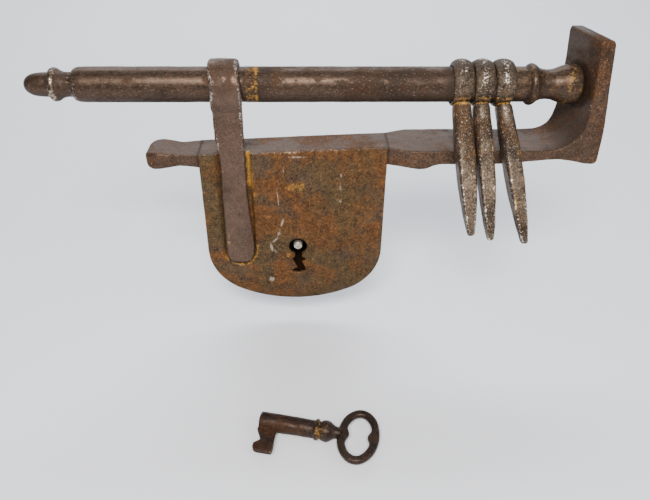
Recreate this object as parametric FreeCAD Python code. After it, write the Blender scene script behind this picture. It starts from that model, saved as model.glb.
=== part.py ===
import FreeCAD, Part
import math
import os

from FreeCAD import Vector

# Old wrought-iron bar padlock, open, with its pipe key lying under it. Millimetres, +Z up.
# The origin is on the axis of the round bolt rod, at the middle of its bare left-hand stretch.
# The rod runs along X. The front of the lock, with the keyhole, faces -Y.

X_AXIS = Vector(1, 0, 0)
Y_AXIS = Vector(0, 1, 0)
Z_AXIS = Vector(0, 0, 1)
ORIGIN = Vector(0, 0, 0)

# Clearances
running_gap = 0.6        # eye bore to rod, on the radius
loose_gap = 0.5          # parts that pass each other
touch_gap = 0.3          # a part lying against another body
overrun = 1.0            # how far a cutting shape reaches past the part

# Rod with its turned ends
rod_radius = 15.1
bare_half_length = 54.0  # half of the bare stretch left of the hasp
rod_chamfer = 5.0        # length of each of the two steps that round the shoulder
shoulder_round = 2.0     # the shoulder's lip below the rod, on the radius
shoulder_fade = 0.2
seat_wear = 0.2          # the rod is worn where the hasp swings
left_finial_length = 43.6
right_end_length = 48.0  # stop collar, neck and bulb together
tenon_radius = 7.5
tenon_recess = 2.0       # the tenon's end, inside the arm's outer face
# Left end as (from the tip, radius)
acorn_points = [(8.0, 7.2), (19.0, 10.2), (22.5, 9.4)]
left_collar_points = [(27.3, 14.6), (32.0, 11.2)]
left_neck_points = [(39.6, 10.6), (left_finial_length, rod_radius - shoulder_round)]
# Right end as (from the end of the plain rod, radius)
stop_collar_points = [(5.4, 18.0), (10.2, 14.0)]
right_neck_points = [(19.6, 12.6), (28.0, 13.7)]
right_bulb_points = [(38.8, 17.1), (right_end_length, 12.3)]

# Frame: arm, heel and bar, forged in one
arm_face_x = 374.0       # inner face of the arm at the rod
arm_top_height = 44.0
arm_foot_thickness = 17.5
arm_top_thickness = 12.5
arm_lean = 5.5           # outward spread of the arm's outer face at the foot
arm_root_set = 2.0       # the arm's inner face, outwards at the heel
arm_top_set = 3.0        # and inwards at the top
top_edge_cut = 1.5       # the worn corners of the arm's top
frame_depth = 52.0       # depth of the arm and the right half of the bar
bar_top_drop = 52.5      # from the rod axis down to the top of the bar
bar_thickness = 12.5
bar_slope = 7.0          # the bar's top falls this much towards the knob
case_bar_drop = 3.3      # the bar is this much thicker at the case
case_bar_dip = 0.4
heel_rise = 0.6
heel_run = 46.0          # where the bar's top starts to rise, in from the arm
heel_fillet = 22.0
heel_radius = 7.0
heel_drop = 0.5          # the heel's bottom below the bar's
hollow_run = 60.0        # the shallow hollow under the bar, in from the arm
hollow_peak = 12.0
hollow_rise = 3.6
step_gap = 20.0          # from the case to where the bar widens
step_length = 9.0
step_dip = 0.6
lump_points = [(16.0, 1.5), (8.0, 2.0)]  # (past the step, below the bar at the case)
lump_start = 4.0
lump_end = 28.0
knob_length = 49.8
knob_depth = 35.0
knob_height = 16.5
knob_nose = 2.5
knob_shoulder = 9.0
knob_nose_height_share = 0.75
knob_nose_depth_share = 0.36
waist_run = 17.7         # from the case to the waist
waist_depth = 30.0
waist_height = 11.6
waist_dip = 0.6
waist_end_gap = 1.0      # the bar is full size again this far short of the case

# Case
case_left_x = 37.2
case_width = 170.8
case_depth = 36.0
case_height = 153.5      # below the bar
case_corner_radius = 52.0
case_belly_radius = 132.0
plate_thickness = 3.0
rim_thickness = 3.0
pillar_radius = 3.5
rivet_radius = 2.5
left_pillar = (8.0, 124.0)    # (in from the case's side, below the rod axis)
right_pillar = (9.7, 112.0)
low_pillars = [(-41.0, 21.5), (44.0, 23.5)]  # (from the case's centre, above its bottom)
bar_rivet_shares = [0.045, 0.42, 0.7, 0.955]  # of the case's width

# Hasp strap and the trough that it lies in
hasp_x = 68.3
hasp_length = 177.0
eye_wall = 6.0
hasp_eye_width = 26.6
hasp_neck_width = 22.0
hasp_foot_width = 27.0
hasp_thickness = 6.4
strap_gap = 1.9          # from the strap's back to the trough floor
shoulder_drop = 58.0
shoulder_length = 6.0
trough_width = 32.0
trough_depth = 5.0
trough_end_gap = 2.0
staple_drop = 128.0
staple_thickness = 5.0
staple_wall = 5.0
staple_root = 3.0        # let into the strap's back
staple_side_gap = 1.0
staple_end_gap = 2.0

# Spiked hasps
first_spike_x = 269.7
spike_pitch = 18.1
spike_eye_width = 17.2
spike_eye_wall = 6.0
spike_root_gap = 2.0     # from the bore to the top of the shank
spike_width = 15.2
spike_depth = 16.6
spike_waist_width = 14.6
spike_waist_share = 0.55
spike_tip_width = 5.0
spike_corner_share = 0.22
spike_lengths = [133.0, 137.0, 140.0]
spike_skews = [3.8, 3.7, 8.3]

# Bolt work
bolt_width = 18.0
bolt_thickness = 6.0
bolt_tail_gap = 21.7     # from the bolt's tail to the rim
bolt_throw = 16.0
bolt_nose_gap = 4.5      # from the staple to the withdrawn bolt
talon_gap = 1.0          # from the bit's end to the top of the talon
guide_shares = [0.3, 0.83]    # of the bolt's length
guide_width = 10.0
guide_wall = 4.0
spring_thickness = 1.4
spring_left_gap = 3.0
spring_right_gap = 8.0
spring_side_inset = 1.0
spring_rise_share = 0.48      # of the spring's length
spring_contact_share = 0.41
spring_lift = 1.0
spring_tip_lift = 2.5
stud_radius = 3.5

# Keyhole, pin and key
keyhole_x = 125.5
keyhole_drop = 158.0
keyhole_radius = 9.0
# The slot under the hole as (across, up) from the hole's centre
keyhole_slot = [(-3.2, -6.0), (-3.3, -12.1), (-6.2, -14.8), (-0.8, -25.7), (-7.1, -28.8), (-5.9, -30.9),
                (0.5, -31.9), (8.5, -29.6), (4.0, -18.3), (6.2, -17.5), (7.8, -14.8), (4.0, -12.9),
                (4.0, -6.0)]
pin_radius = 4.5
pin_recess = 0.5
ward_inner_radius = 9.6
ward_wall = 3.0
ward_height = 5.0
key_radius = 8.2
key_rim_bevel = 1.0
key_bore_radius = 4.8
key_bore_depth = 30.0
key_shank_length = 69.5
# Turned part of the stem as (from the bow, radius): collar, bulb and neck
key_collar_points = [(20.0, 7.6), (18.0, 9.4), (16.0, 6.8)]
key_bulb_points = [(10.0, 9.4), (4.0, 5.6)]
key_bit_reach = 32.0
key_bit_width = 18.0
key_bit_thickness = 4.6
# The bit as (from the tip, out from the stem's axis)
key_bit_points = [(0.4, 0.0), (0.4, 10.6), (4.0, 16.6), (5.4, 21.0), (0.8, 25.0), (1.6, 30.6),
                  (5.0, key_bit_reach), (key_bit_width, key_bit_reach), (18.4, 27.6), (17.4, 18.7),
                  (17.0, 13.0), (17.0, 0.0)]
bow_length = 37.0
bow_width = 57.0
bow_band = 7.2
bow_thickness = 6.5
bow_lobe_radius = 4.2
bow_lobe_set = 1.4       # the lobe's centre, outside the opening's edge
key_yaw = -12.4
key_lift = 1.2           # the stem's lowest line above the ground: its collar rests there
key_tip = Vector(92.0, -155.4, 0.0)
ground_drop = 261.3      # surface that the key lies on, below the rod axis

# Places that follow from the sizes
rod_shoulder_x = -bare_half_length - 2 * rod_chamfer
seat_right_x = 2 * hasp_x - bare_half_length
case_right_x = case_left_x + case_width
case_centre_x = case_left_x + case_width / 2
bar_top_z = -bar_top_drop
bar_bottom_z = bar_top_z - bar_thickness
case_bar_bottom_z = bar_bottom_z - case_bar_drop
case_bottom_z = case_bar_bottom_z - case_height
front_y = -case_depth / 2
back_y = case_depth / 2
inner_front_y = front_y + plate_thickness
inner_back_y = back_y - plate_thickness
trough_floor_y = front_y + trough_depth
boss_back_y = trough_floor_y + plate_thickness
trough_radius = trough_width / 2
boss_radius = trough_radius + plate_thickness
trough_end_z = -hasp_length - trough_end_gap
eye_bore = rod_radius + running_gap
hasp_eye_radius = eye_bore + eye_wall
hasp_back_y = trough_floor_y - strap_gap
hasp_front_y = hasp_back_y - hasp_thickness
bolt_z = -staple_drop
bolt_back_y = bolt_thickness
nose_x = hasp_x + staple_thickness / 2 + bolt_nose_gap
bolt_tail_x = case_right_x - rim_thickness - bolt_tail_gap
arm_inner_z = bar_top_z + heel_rise + heel_fillet
step_x = case_right_x + step_gap
knob_x = case_left_x - knob_length
waist_x = case_left_x - waist_run
outer_foot_x = arm_face_x + arm_foot_thickness + arm_lean
rod_end_x = arm_face_x + arm_foot_thickness - tenon_recess


def outline(start, steps):
    """A closed wire: each step is one point for a line, or (through, end) for an arc."""
    edges = []
    last = start
    for step in steps:
        if isinstance(step, tuple):
            through, end = step
            edges.append(Part.Arc(last, through, end).toShape())
        else:
            end = step
            edges.append(Part.LineSegment(last, end).toShape())
        last = end
    if last.distanceToPoint(start) > 1e-6:
        edges.append(Part.LineSegment(last, start).toShape())
    return Part.Wire(edges)


def front_point(x, z, y=0.0):
    return Vector(x, y, z)


def box(x_low, x_high, y_low, y_high, z_low, z_high):
    size = (x_high - x_low, y_high - y_low, z_high - z_low)
    return Part.makeBox(*size, Vector(x_low, y_low, z_low))


def rod_along_y(radius, x, z, y_low, y_high):
    return Part.makeCylinder(radius, y_high - y_low, Vector(x, y_low, z), Y_AXIS)


def write(node, shape):
    clean = shape.removeSplitter()
    clean.exportStep(os.path.join("parts", node + ".step"))


# ---- rod -------------------------------------------------------------------------------

def on_profile(start, steps):
    """Points of a turned profile, each (along, radius) counted from the start."""
    return [Vector(start + along, 0, radius) for along, radius in steps]


def bolt_rod():
    """The turned rod: acorn, collar and neck on the left, stop collar, neck and bulb right."""
    tip = rod_shoulder_x - left_finial_length
    right = arm_face_x - right_end_length
    rise, acorn_top, acorn_end = on_profile(tip, acorn_points)
    worn = rod_radius - seat_wear
    profile = outline(Vector(tip, 0, 0), [
        (rise, acorn_top),
        acorn_end,
        tuple(on_profile(tip, left_collar_points)),
        *on_profile(tip, left_neck_points),
        Vector(rod_shoulder_x + rod_chamfer, 0, rod_radius - shoulder_fade),
        Vector(-bare_half_length, 0, rod_radius),
        Vector(bare_half_length, 0, rod_radius),
        Vector(bare_half_length, 0, worn),
        Vector(seat_right_x, 0, worn),
        Vector(seat_right_x, 0, rod_radius),
        Vector(right, 0, rod_radius),
        tuple(on_profile(right, stop_collar_points)),
        tuple(on_profile(right, right_neck_points)),
        tuple(on_profile(right, right_bulb_points)),
        Vector(arm_face_x, 0, tenon_radius),
        Vector(rod_end_x, 0, tenon_radius),
        Vector(rod_end_x, 0, 0),
    ])
    return Part.Face(profile).revolve(ORIGIN, X_AXIS, 360)


# ---- frame: arm, heel and bar ----------------------------------------------------------

def bar_top_at(x):
    """Height of the bar's top left of the step: it falls evenly towards the knob."""
    share = (case_right_x - x) / case_width
    return bar_top_z - case_bar_dip - bar_slope * share


def knob_bottom(waist_bottom, knob_middle, nose_half):
    """The underside from the case back round the knob's nose."""
    return [
        front_point(waist_x, waist_bottom),
        front_point(knob_x + knob_shoulder, knob_middle - knob_height / 2),
        (front_point(knob_x + knob_nose, knob_middle - nose_half), front_point(knob_x, knob_middle)),
    ]


def arm_outline():
    """The heel's inner round, the arm up and down again, and the heel's outer round."""
    heel_top = bar_top_z + heel_rise
    fillet_mid = heel_fillet * (1 - math.sqrt(0.5))
    inner_x = arm_face_x + arm_root_set
    top_inner_x = arm_face_x - arm_top_set
    top_outer_x = top_inner_x + arm_top_thickness
    heel_mid = heel_radius * (1 - math.sqrt(0.5))
    bottom = bar_bottom_z - heel_drop
    return [
        front_point(inner_x - heel_fillet, heel_top),
        (front_point(inner_x - fillet_mid, heel_top + fillet_mid), front_point(inner_x, arm_inner_z)),
        front_point(top_inner_x, arm_top_height - top_edge_cut),
        front_point(top_inner_x + top_edge_cut, arm_top_height),
        front_point(top_outer_x - top_edge_cut, arm_top_height),
        front_point(top_outer_x, arm_top_height - top_edge_cut),
        front_point(outer_foot_x, bottom + heel_radius),
        (front_point(outer_foot_x - heel_mid, bottom + heel_mid),
         front_point(outer_foot_x - heel_radius, bottom)),
    ]


def frame_elevation():
    """The frame seen from the front."""
    waist_top = bar_top_at(case_left_x)
    knob_middle = waist_top - waist_height / 2
    nose_half = knob_height / 2 * knob_nose_height_share
    lump = [front_point(step_x + along, case_bar_bottom_z - drop) for along, drop in lump_points]
    return outline(front_point(knob_x, knob_middle), [
        (front_point(knob_x + knob_nose, knob_middle + nose_half),
         front_point(knob_x + knob_shoulder, knob_middle + knob_height / 2)),
        front_point(waist_x, waist_top - waist_dip),
        front_point(case_left_x, waist_top),
        front_point(case_right_x, bar_top_at(case_right_x)),
        front_point(step_x, bar_top_z - step_dip),
        front_point(step_x + step_length, bar_top_z),
        front_point(arm_face_x - heel_run, bar_top_z),
        *arm_outline(),
        front_point(arm_face_x - hollow_peak, bar_bottom_z + hollow_rise),
        front_point(arm_face_x - hollow_run, bar_bottom_z),
        front_point(step_x + lump_end, bar_bottom_z),
        *lump,
        front_point(step_x - lump_start, case_bar_bottom_z),
        front_point(case_left_x, case_bar_bottom_z),
        *knob_bottom(waist_top - waist_height, knob_middle, nose_half),
    ])


def frame_plan():
    """The frame seen from above: deep on the right, narrow at the case, waisted at the knob."""
    narrow = case_depth / 2
    wide = frame_depth / 2
    far = outer_foot_x + overrun
    nose = knob_depth * knob_nose_depth_share
    full_x = case_left_x - waist_end_gap
    front = [
        (Vector(knob_x + knob_nose, -nose, 0), Vector(knob_x + knob_shoulder, -knob_depth / 2, 0)),
        Vector(waist_x, -waist_depth / 2, 0),
        Vector(full_x, -narrow, 0),
        Vector(step_x, -narrow, 0),
        Vector(step_x + step_length, -wide, 0),
        Vector(far, -wide, 0),
    ]
    back = [
        Vector(far, wide, 0),
        Vector(step_x + step_length, wide, 0),
        Vector(step_x, narrow, 0),
        Vector(full_x, narrow, 0),
        Vector(waist_x, waist_depth / 2, 0),
        Vector(knob_x + knob_shoulder, knob_depth / 2, 0),
        (Vector(knob_x + knob_nose, nose, 0), Vector(knob_x, 0, 0)),
    ]
    return outline(Vector(knob_x, 0, 0), front + back)


def frame_bar():
    side = Part.Face(frame_elevation())
    side.translate(Vector(0, -frame_depth, 0))
    plan = Part.Face(frame_plan())
    low = case_bottom_z
    plan.translate(Vector(0, 0, low))
    body = side.extrude(Y_AXIS * (2 * frame_depth))
    body = body.common(plan.extrude(Z_AXIS * (arm_top_height - low + overrun)))
    body = body.cut(front_plate_blank()).cut(trough_boss())
    body = body.cut(bolt_rod()).cut(past_arm())
    return body.cut(cylinders(bar_rivet_places(), rivet_radius, front_y, back_y))


def past_arm():
    """Room beyond the peened tenon, so that the hole opens on the arm's outer face."""
    return Part.makeCylinder(tenon_radius, arm_foot_thickness, Vector(rod_end_x, 0, 0), X_AXIS)


# ---- case ------------------------------------------------------------------------------

def case_wire(inset, top_left_z, top_right_z, y):
    """The D-shaped outline: upright sides, two corner arcs and a flatter belly arc."""
    half = case_width / 2 - inset
    corner = case_corner_radius - inset
    belly = case_belly_radius - inset
    belly_z = case_bottom_z + case_belly_radius
    across = half - corner
    corner_z = belly_z - math.sqrt((belly - corner) ** 2 - across ** 2)
    join_angle = math.atan2(belly_z - corner_z, across)
    join_x = across + corner * math.cos(join_angle)
    join_z = corner_z - corner * math.sin(join_angle)
    mid_x = across + corner * math.cos(join_angle / 2)
    mid_z = corner_z - corner * math.sin(join_angle / 2)

    def at(x, z):
        return Vector(case_centre_x + x, y, z)

    return outline(at(-half, top_left_z), [
        at(-half, corner_z),
        (at(-mid_x, mid_z), at(-join_x, join_z)),
        (at(0, case_bottom_z + inset), at(join_x, join_z)),
        (at(mid_x, mid_z), at(half, corner_z)),
        at(half, top_right_z),
    ])


def front_plate_blank():
    wire = case_wire(0, bar_top_at(case_left_x), bar_top_at(case_right_x), front_y)
    return Part.Face(wire).extrude(Y_AXIS * plate_thickness)


def slot_block(radius, y_low, y_high, top_z):
    """A block with a round lower end, on the hasp's centre line."""
    end_z = trough_end_z + trough_radius
    block = box(hasp_x - radius, hasp_x + radius, y_low, y_high, end_z, top_z)
    return block.fuse(rod_along_y(radius, hasp_x, end_z, y_low, y_high))


def trough_boss():
    return slot_block(boss_radius, inner_front_y, boss_back_y, bar_top_z)


def keyhole_cut():
    """A round hole with a stepped slot below it, to suit the warded bit."""
    before = front_y - overrun
    after = inner_front_y + overrun
    points = [Vector(keyhole_x + across, before, up - keyhole_drop) for across, up in keyhole_slot]
    slot = Part.Face(outline(points[0], points[1:])).extrude(Y_AXIS * (after - before))
    return rod_along_y(keyhole_radius, keyhole_x, -keyhole_drop, before, after).fuse(slot)


def staple_slot():
    """The slot in the trough floor, tall enough for the staple's arc."""
    half_width = staple_thickness / 2 + staple_side_gap
    tall = bolt_width / 2 + staple_wall + staple_end_gap
    return box(hasp_x - half_width, hasp_x + half_width, trough_floor_y - overrun,
               boss_back_y + overrun, -staple_drop - tall, -staple_drop + tall)


def case_front():
    plate = front_plate_blank().fuse(trough_boss().common(case_limit()))
    plate = plate.cut(slot_block(trough_radius, front_y - overrun, trough_floor_y, 0))
    plate = plate.cut(keyhole_cut()).cut(staple_slot())
    return plate.cut(cylinders(all_pin_places(), rivet_radius, front_y, inner_front_y))


def case_limit():
    """Everything below the sloping top of the bar."""
    left = case_left_x - overrun
    right = case_right_x + overrun
    wire = outline(Vector(left, front_y, case_bottom_z), [
        Vector(right, front_y, case_bottom_z),
        Vector(right, front_y, bar_top_at(right)),
        Vector(left, front_y, bar_top_at(left)),
    ])
    return Part.Face(wire).extrude(Y_AXIS * case_depth)


def case_back():
    wire = case_wire(0, case_bar_bottom_z, case_bar_bottom_z, inner_back_y)
    plate = Part.Face(wire).extrude(Y_AXIS * plate_thickness)
    plate = plate.cut(cylinders(pillar_places(), rivet_radius, inner_back_y, back_y))
    plate = plate.cut(cylinders(guide_rivet_places(), rivet_radius, inner_back_y, back_y))
    plate = plate.cut(rod_along_y(pin_radius, keyhole_x, -keyhole_drop, inner_back_y, back_y))
    return plate.cut(rod_along_y(stud_radius, *stud_place(), inner_back_y, back_y))


def case_rim():
    """The strip between the plates, from the bar round the belly and up to the bar again."""
    span = Y_AXIS * (inner_back_y - inner_front_y)
    top = case_bar_bottom_z
    outer = Part.Face(case_wire(0, top, top, inner_front_y)).extrude(span)
    inner = Part.Face(case_wire(rim_thickness, top, top, inner_front_y)).extrude(span)
    return outer.cut(inner)


def pillar_places():
    left_inset, left_drop = left_pillar
    right_inset, right_drop = right_pillar
    low = [(case_centre_x + along, case_bottom_z + rise) for along, rise in low_pillars]
    return [(case_left_x + left_inset, -left_drop), (case_right_x - right_inset, -right_drop)] + low


def bar_rivet_places():
    middle = case_bar_bottom_z + bar_thickness / 2
    return [(case_left_x + share * case_width, middle) for share in bar_rivet_shares]


def guide_places():
    return [nose_x + share * (bolt_tail_x - nose_x) for share in guide_shares]


def guide_rivet_places():
    reach = bolt_width / 2 + guide_wall
    return [(x, bolt_z + side * reach) for x in guide_places() for side in (-1, 1)]


def all_pin_places():
    return pillar_places() + bar_rivet_places()


def cylinders(places, radius, y_low, y_high):
    return Part.makeCompound([rod_along_y(radius, x, z, y_low, y_high) for x, z in places])


def case_pillars():
    """Shouldered pillars between the plates, their ends riveted flush through both."""
    thick = [rod_along_y(pillar_radius, x, z, inner_front_y, inner_back_y) for x, z in pillar_places()]
    thin = [rod_along_y(rivet_radius, x, z, front_y, back_y) for x, z in pillar_places()]
    return Part.makeCompound([wide.fuse(narrow) for wide, narrow in zip(thick, thin)])


def bar_rivets():
    return cylinders(bar_rivet_places(), rivet_radius, front_y, back_y)


# ---- bolt work -------------------------------------------------------------------------

def lock_bolt():
    """The sliding bolt, withdrawn, with its talon notch in the lower edge."""
    low = bolt_z - bolt_width / 2
    high = bolt_z + bolt_width / 2
    bar = box(nose_x, bolt_tail_x, 0, bolt_back_y, low, high)
    talon_middle = keyhole_x + bolt_throw / 2
    talon_half = bolt_throw / 2 + key_bit_thickness / 2
    depth = -keyhole_drop + key_bit_reach + talon_gap
    return bar.cut(box(talon_middle - talon_half, talon_middle + talon_half, -overrun,
                       bolt_back_y + overrun, low - overrun, depth))


def bolt_guides():
    """Two forged loops that hold the bolt off the back plate and let it slide."""
    half = bolt_width / 2 + touch_gap
    tall = half + 2 * guide_wall
    loops = []
    for x in guide_places():
        block = box(x - guide_width / 2, x + guide_width / 2, -guide_wall, inner_back_y,
                    bolt_z - tall, bolt_z + tall)
        tunnel = box(x - guide_width, x + guide_width, -touch_gap, bolt_back_y + touch_gap,
                     bolt_z - half, bolt_z + half)
        loops.append(block.cut(tunnel))
    return Part.makeCompound(loops)


def guide_rivets():
    return cylinders(guide_rivet_places(), rivet_radius, inner_back_y, back_y)


def spring_span():
    """From the left guide to the right guide, with room at both ends."""
    left, right = guide_places()
    return left + guide_width / 2 + spring_left_gap, right - guide_width / 2 - spring_right_gap


def spring_bearing_z():
    return bolt_z + bolt_width / 2 + touch_gap


def stud_place():
    left, right = spring_span()
    return right - stud_radius - loose_gap, spring_bearing_z() + spring_rise_share * (right - left)


def spring_stud():
    return rod_along_y(stud_radius, *stud_place(), 0, back_y)


def bolt_spring():
    """A bowed leaf that bears on the bolt's top edge and keeps the bolt where it is left."""
    left, right = spring_span()
    bearing_z = spring_bearing_z()
    y = spring_side_inset
    start = Vector(right, y, stud_place()[1] - stud_radius)
    middle = Vector(left + (right - left) * spring_contact_share, y, bearing_z + spring_lift)
    end = Vector(left, y, bearing_z + spring_tip_lift)
    up = Vector(0, 0, spring_thickness)
    lower = Part.Arc(start - up, middle, end).toShape()
    upper = Part.Arc(end + up, middle + up, start).toShape()
    edges = [lower, Part.LineSegment(end, end + up).toShape(), upper,
             Part.LineSegment(start, start - up).toShape()]
    leaf = Part.Face(Part.Wire(edges)).extrude(Y_AXIS * (bolt_thickness - 2 * spring_side_inset))
    return leaf.cut(spring_stud())


def drill_pin():
    return rod_along_y(pin_radius, keyhole_x, -keyhole_drop, front_y + pin_recess, back_y)


def ward_ring():
    ring = rod_along_y(ward_inner_radius + ward_wall, keyhole_x, -keyhole_drop,
                       inner_back_y - ward_height, inner_back_y)
    return ring.cut(rod_along_y(ward_inner_radius, keyhole_x, -keyhole_drop,
                                inner_back_y - ward_height - overrun, inner_back_y))


# ---- hasps -----------------------------------------------------------------------------

def eye(centre_x, width, outer_radius):
    start = Vector(centre_x - width / 2, 0, 0)
    ring = Part.makeCylinder(outer_radius, width, start, X_AXIS)
    return ring.cut(Part.makeCylinder(eye_bore, width, start, X_AXIS))


def strap_outline():
    """The strap seen from the front: wide at the eye, a shoulder, then widening to a round foot."""
    wide = hasp_eye_width / 2
    neck = hasp_neck_width / 2
    foot = hasp_foot_width / 2
    foot_z = -hasp_length + foot
    y = hasp_front_y
    return outline(Vector(hasp_x - wide, y, 0), [
        Vector(hasp_x - wide, y, -shoulder_drop + shoulder_length),
        Vector(hasp_x - neck, y, -shoulder_drop),
        Vector(hasp_x - foot, y, foot_z),
        (Vector(hasp_x, y, -hasp_length), Vector(hasp_x + foot, y, foot_z)),
        Vector(hasp_x + neck, y, -shoulder_drop),
        Vector(hasp_x + wide, y, -shoulder_drop + shoulder_length),
        Vector(hasp_x + wide, y, 0),
    ])


def hasp_strap():
    """The strap hangs from an eye bent round the rod and lies in the trough."""
    blade = Part.Face(strap_outline()).extrude(Y_AXIS * hasp_thickness)
    bore = Part.makeCylinder(eye_bore, 2 * hasp_eye_width, Vector(hasp_x - hasp_eye_width, 0, 0), X_AXIS)
    strap = blade.cut(bore).fuse(eye(hasp_x, hasp_eye_width, hasp_eye_radius))
    return strap.cut(staple_tenon())


def staple_tenon():
    half = bolt_width / 2 + staple_wall
    return box(hasp_x - staple_thickness / 2, hasp_x + staple_thickness / 2,
               hasp_back_y - staple_root, hasp_back_y, bolt_z - half, bolt_z + half)


def hasp_staple():
    """The loop on the strap's back that the bolt shoots through."""
    half = bolt_width / 2 + staple_wall
    x_low = hasp_x - staple_thickness / 2
    x_high = hasp_x + staple_thickness / 2
    loop = box(x_low, x_high, hasp_back_y - staple_root, bolt_back_y + staple_wall, bolt_z - half, bolt_z + half)
    hole = box(x_low - overrun, x_high + overrun, -loose_gap, bolt_back_y + loose_gap,
               bolt_z - bolt_width / 2 - loose_gap, bolt_z + bolt_width / 2 + loose_gap)
    return loop.cut(hole)


def spike_lean():
    """Angle from the plumb line at which a spike lies on the bar's front top edge."""
    edge_angle = math.atan2(frame_depth / 2, bar_top_drop)
    edge_reach = math.hypot(frame_depth / 2, bar_top_drop)
    return math.degrees(edge_angle + math.asin((spike_depth / 2 + touch_gap) / edge_reach))


def shank_section(distance, width, depth):
    """A square with cut corners, at a distance below the eye."""
    cut = min(width, depth) * spike_corner_share
    half_x = width / 2
    half_y = depth / 2
    corners = [(-half_x, -half_y + cut), (-half_x + cut, -half_y), (half_x - cut, -half_y),
               (half_x, -half_y + cut), (half_x, half_y - cut), (half_x - cut, half_y),
               (-half_x + cut, half_y), (-half_x, half_y - cut)]
    points = [Vector(x, y, -distance) for x, y in corners]
    return Part.makePolygon(points + points[:1])


def spike(index):
    centre_x = first_spike_x + index * spike_pitch
    length = spike_lengths[index]
    start = eye_bore + spike_root_gap
    outer_radius = eye_bore + spike_eye_wall
    sections = [
        shank_section(start, spike_width, spike_depth),
        shank_section(length * spike_waist_share, spike_waist_width, spike_depth),
        shank_section(length, spike_tip_width, spike_tip_width),
    ]
    shank = Part.makeLoft(sections, True, True)
    shank.rotate(ORIGIN, Y_AXIS, -spike_skews[index])
    shank.translate(Vector(centre_x, 0, 0))
    body = shank.fuse(eye(centre_x, spike_eye_width, outer_radius))
    body.rotate(ORIGIN, X_AXIS, -spike_lean())
    return body


# ---- key -------------------------------------------------------------------------------

def key_placed(shape):
    """From the key's own frame, tip at the origin and +X towards the bow, to the ground."""
    shape.rotate(ORIGIN, Z_AXIS, key_yaw)
    shape.translate(key_tip + Vector(0, 0, -ground_drop + key_radius + key_lift))
    return shape


def from_bow(steps):
    return [Vector(key_shank_length - back, 0, radius) for back, radius in steps]


def key_shank():
    """The drilled stem with a collar and a bulb next to the bow."""
    collar_start, collar_top, collar_end = from_bow(key_collar_points)
    bulb_top, neck = from_bow(key_bulb_points)
    profile = outline(ORIGIN, [
        Vector(0, 0, key_radius - key_rim_bevel),
        Vector(key_rim_bevel, 0, key_radius),
        collar_start,
        (collar_top, collar_end),
        (bulb_top, neck),
        Vector(key_shank_length, 0, neck.z),
        Vector(key_shank_length, 0, 0),
    ])
    stem = Part.Face(profile).revolve(ORIGIN, X_AXIS, 360)
    stem = stem.cut(Part.makeCylinder(key_bore_radius, key_bore_depth, ORIGIN, X_AXIS))
    return key_placed(stem)


def along_stem(radius):
    """A plain round bar on the stem's axis, longer than the bit at both ends."""
    start = Vector(-key_bit_width / 2, 0, 0)
    return Part.makeCylinder(radius, 2 * key_bit_width, start, X_AXIS)


def key_bit():
    """The flat bit, brazed on the stem: a web notched for the ward, and a longer foot."""
    low = -key_bit_thickness / 2
    points = [Vector(along, -out, low) for along, out in key_bit_points]
    web = Part.Face(outline(points[0], points[1:])).extrude(Z_AXIS * key_bit_thickness)
    return key_placed(web.cut(along_stem(key_radius)))


def bow_ring(length, width, centre):
    ellipse = Part.Ellipse(Vector(centre, 0, 0), max(length, width) / 2, min(length, width) / 2)
    face = Part.Face(Part.Wire(ellipse.toShape()))
    face.rotate(Vector(centre, 0, 0), Z_AXIS, 90 if width > length else 0)
    return face


def key_bow():
    """The oval bow with two lobes that narrow the middle of its opening."""
    centre = key_shank_length + bow_length / 2
    low = Vector(0, 0, -bow_thickness / 2)
    ring = bow_ring(bow_length, bow_width, centre)
    ring = ring.cut(bow_ring(bow_length - 2 * bow_band, bow_width - 2 * bow_band, centre))
    solid = ring.extrude(Z_AXIS * bow_thickness)
    inner_half = bow_length / 2 - bow_band
    for side in (-1, 1):
        place = Vector(centre + side * (inner_half + bow_lobe_set), 0, 0)
        solid = solid.fuse(Part.makeCylinder(bow_lobe_radius, bow_thickness, place))
    solid.translate(low)
    return key_placed(solid)


os.makedirs("parts", exist_ok=True)
write("bolt_rod", bolt_rod())
write("frame_bar", frame_bar())
write("case_front", case_front())
write("case_back", case_back())
write("case_rim", case_rim())
write("case_pillars", case_pillars())
write("bar_rivets", bar_rivets())
write("drill_pin", drill_pin())
write("ward_ring", ward_ring())
write("bolt_guides", bolt_guides())
write("guide_rivets", guide_rivets())
write("bolt_spring", bolt_spring())
write("spring_stud", spring_stud())
write("lock_bolt", lock_bolt())
write("hasp_strap", hasp_strap())
write("hasp_staple", hasp_staple())
for number in range(len(spike_lengths)):
    write("spike_%d" % (number + 1), spike(number))
write("key_shank", key_shank())
write("key_bit", key_bit())
write("key_bow", key_bow())
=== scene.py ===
import bpy
import math
import numpy as np
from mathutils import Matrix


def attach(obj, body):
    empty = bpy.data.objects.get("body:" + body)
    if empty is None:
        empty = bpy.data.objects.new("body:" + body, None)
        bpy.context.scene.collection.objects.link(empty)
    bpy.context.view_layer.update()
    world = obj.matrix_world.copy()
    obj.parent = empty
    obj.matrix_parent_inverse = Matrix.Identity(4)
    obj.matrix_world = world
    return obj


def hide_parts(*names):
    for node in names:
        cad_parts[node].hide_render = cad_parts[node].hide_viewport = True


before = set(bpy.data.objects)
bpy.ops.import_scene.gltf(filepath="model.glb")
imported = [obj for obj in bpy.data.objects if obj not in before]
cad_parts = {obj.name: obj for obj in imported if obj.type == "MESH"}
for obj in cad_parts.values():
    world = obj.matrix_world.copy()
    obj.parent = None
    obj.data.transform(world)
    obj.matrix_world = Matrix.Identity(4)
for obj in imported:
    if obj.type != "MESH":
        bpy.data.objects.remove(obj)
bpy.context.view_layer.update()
mm = 0.001


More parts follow.
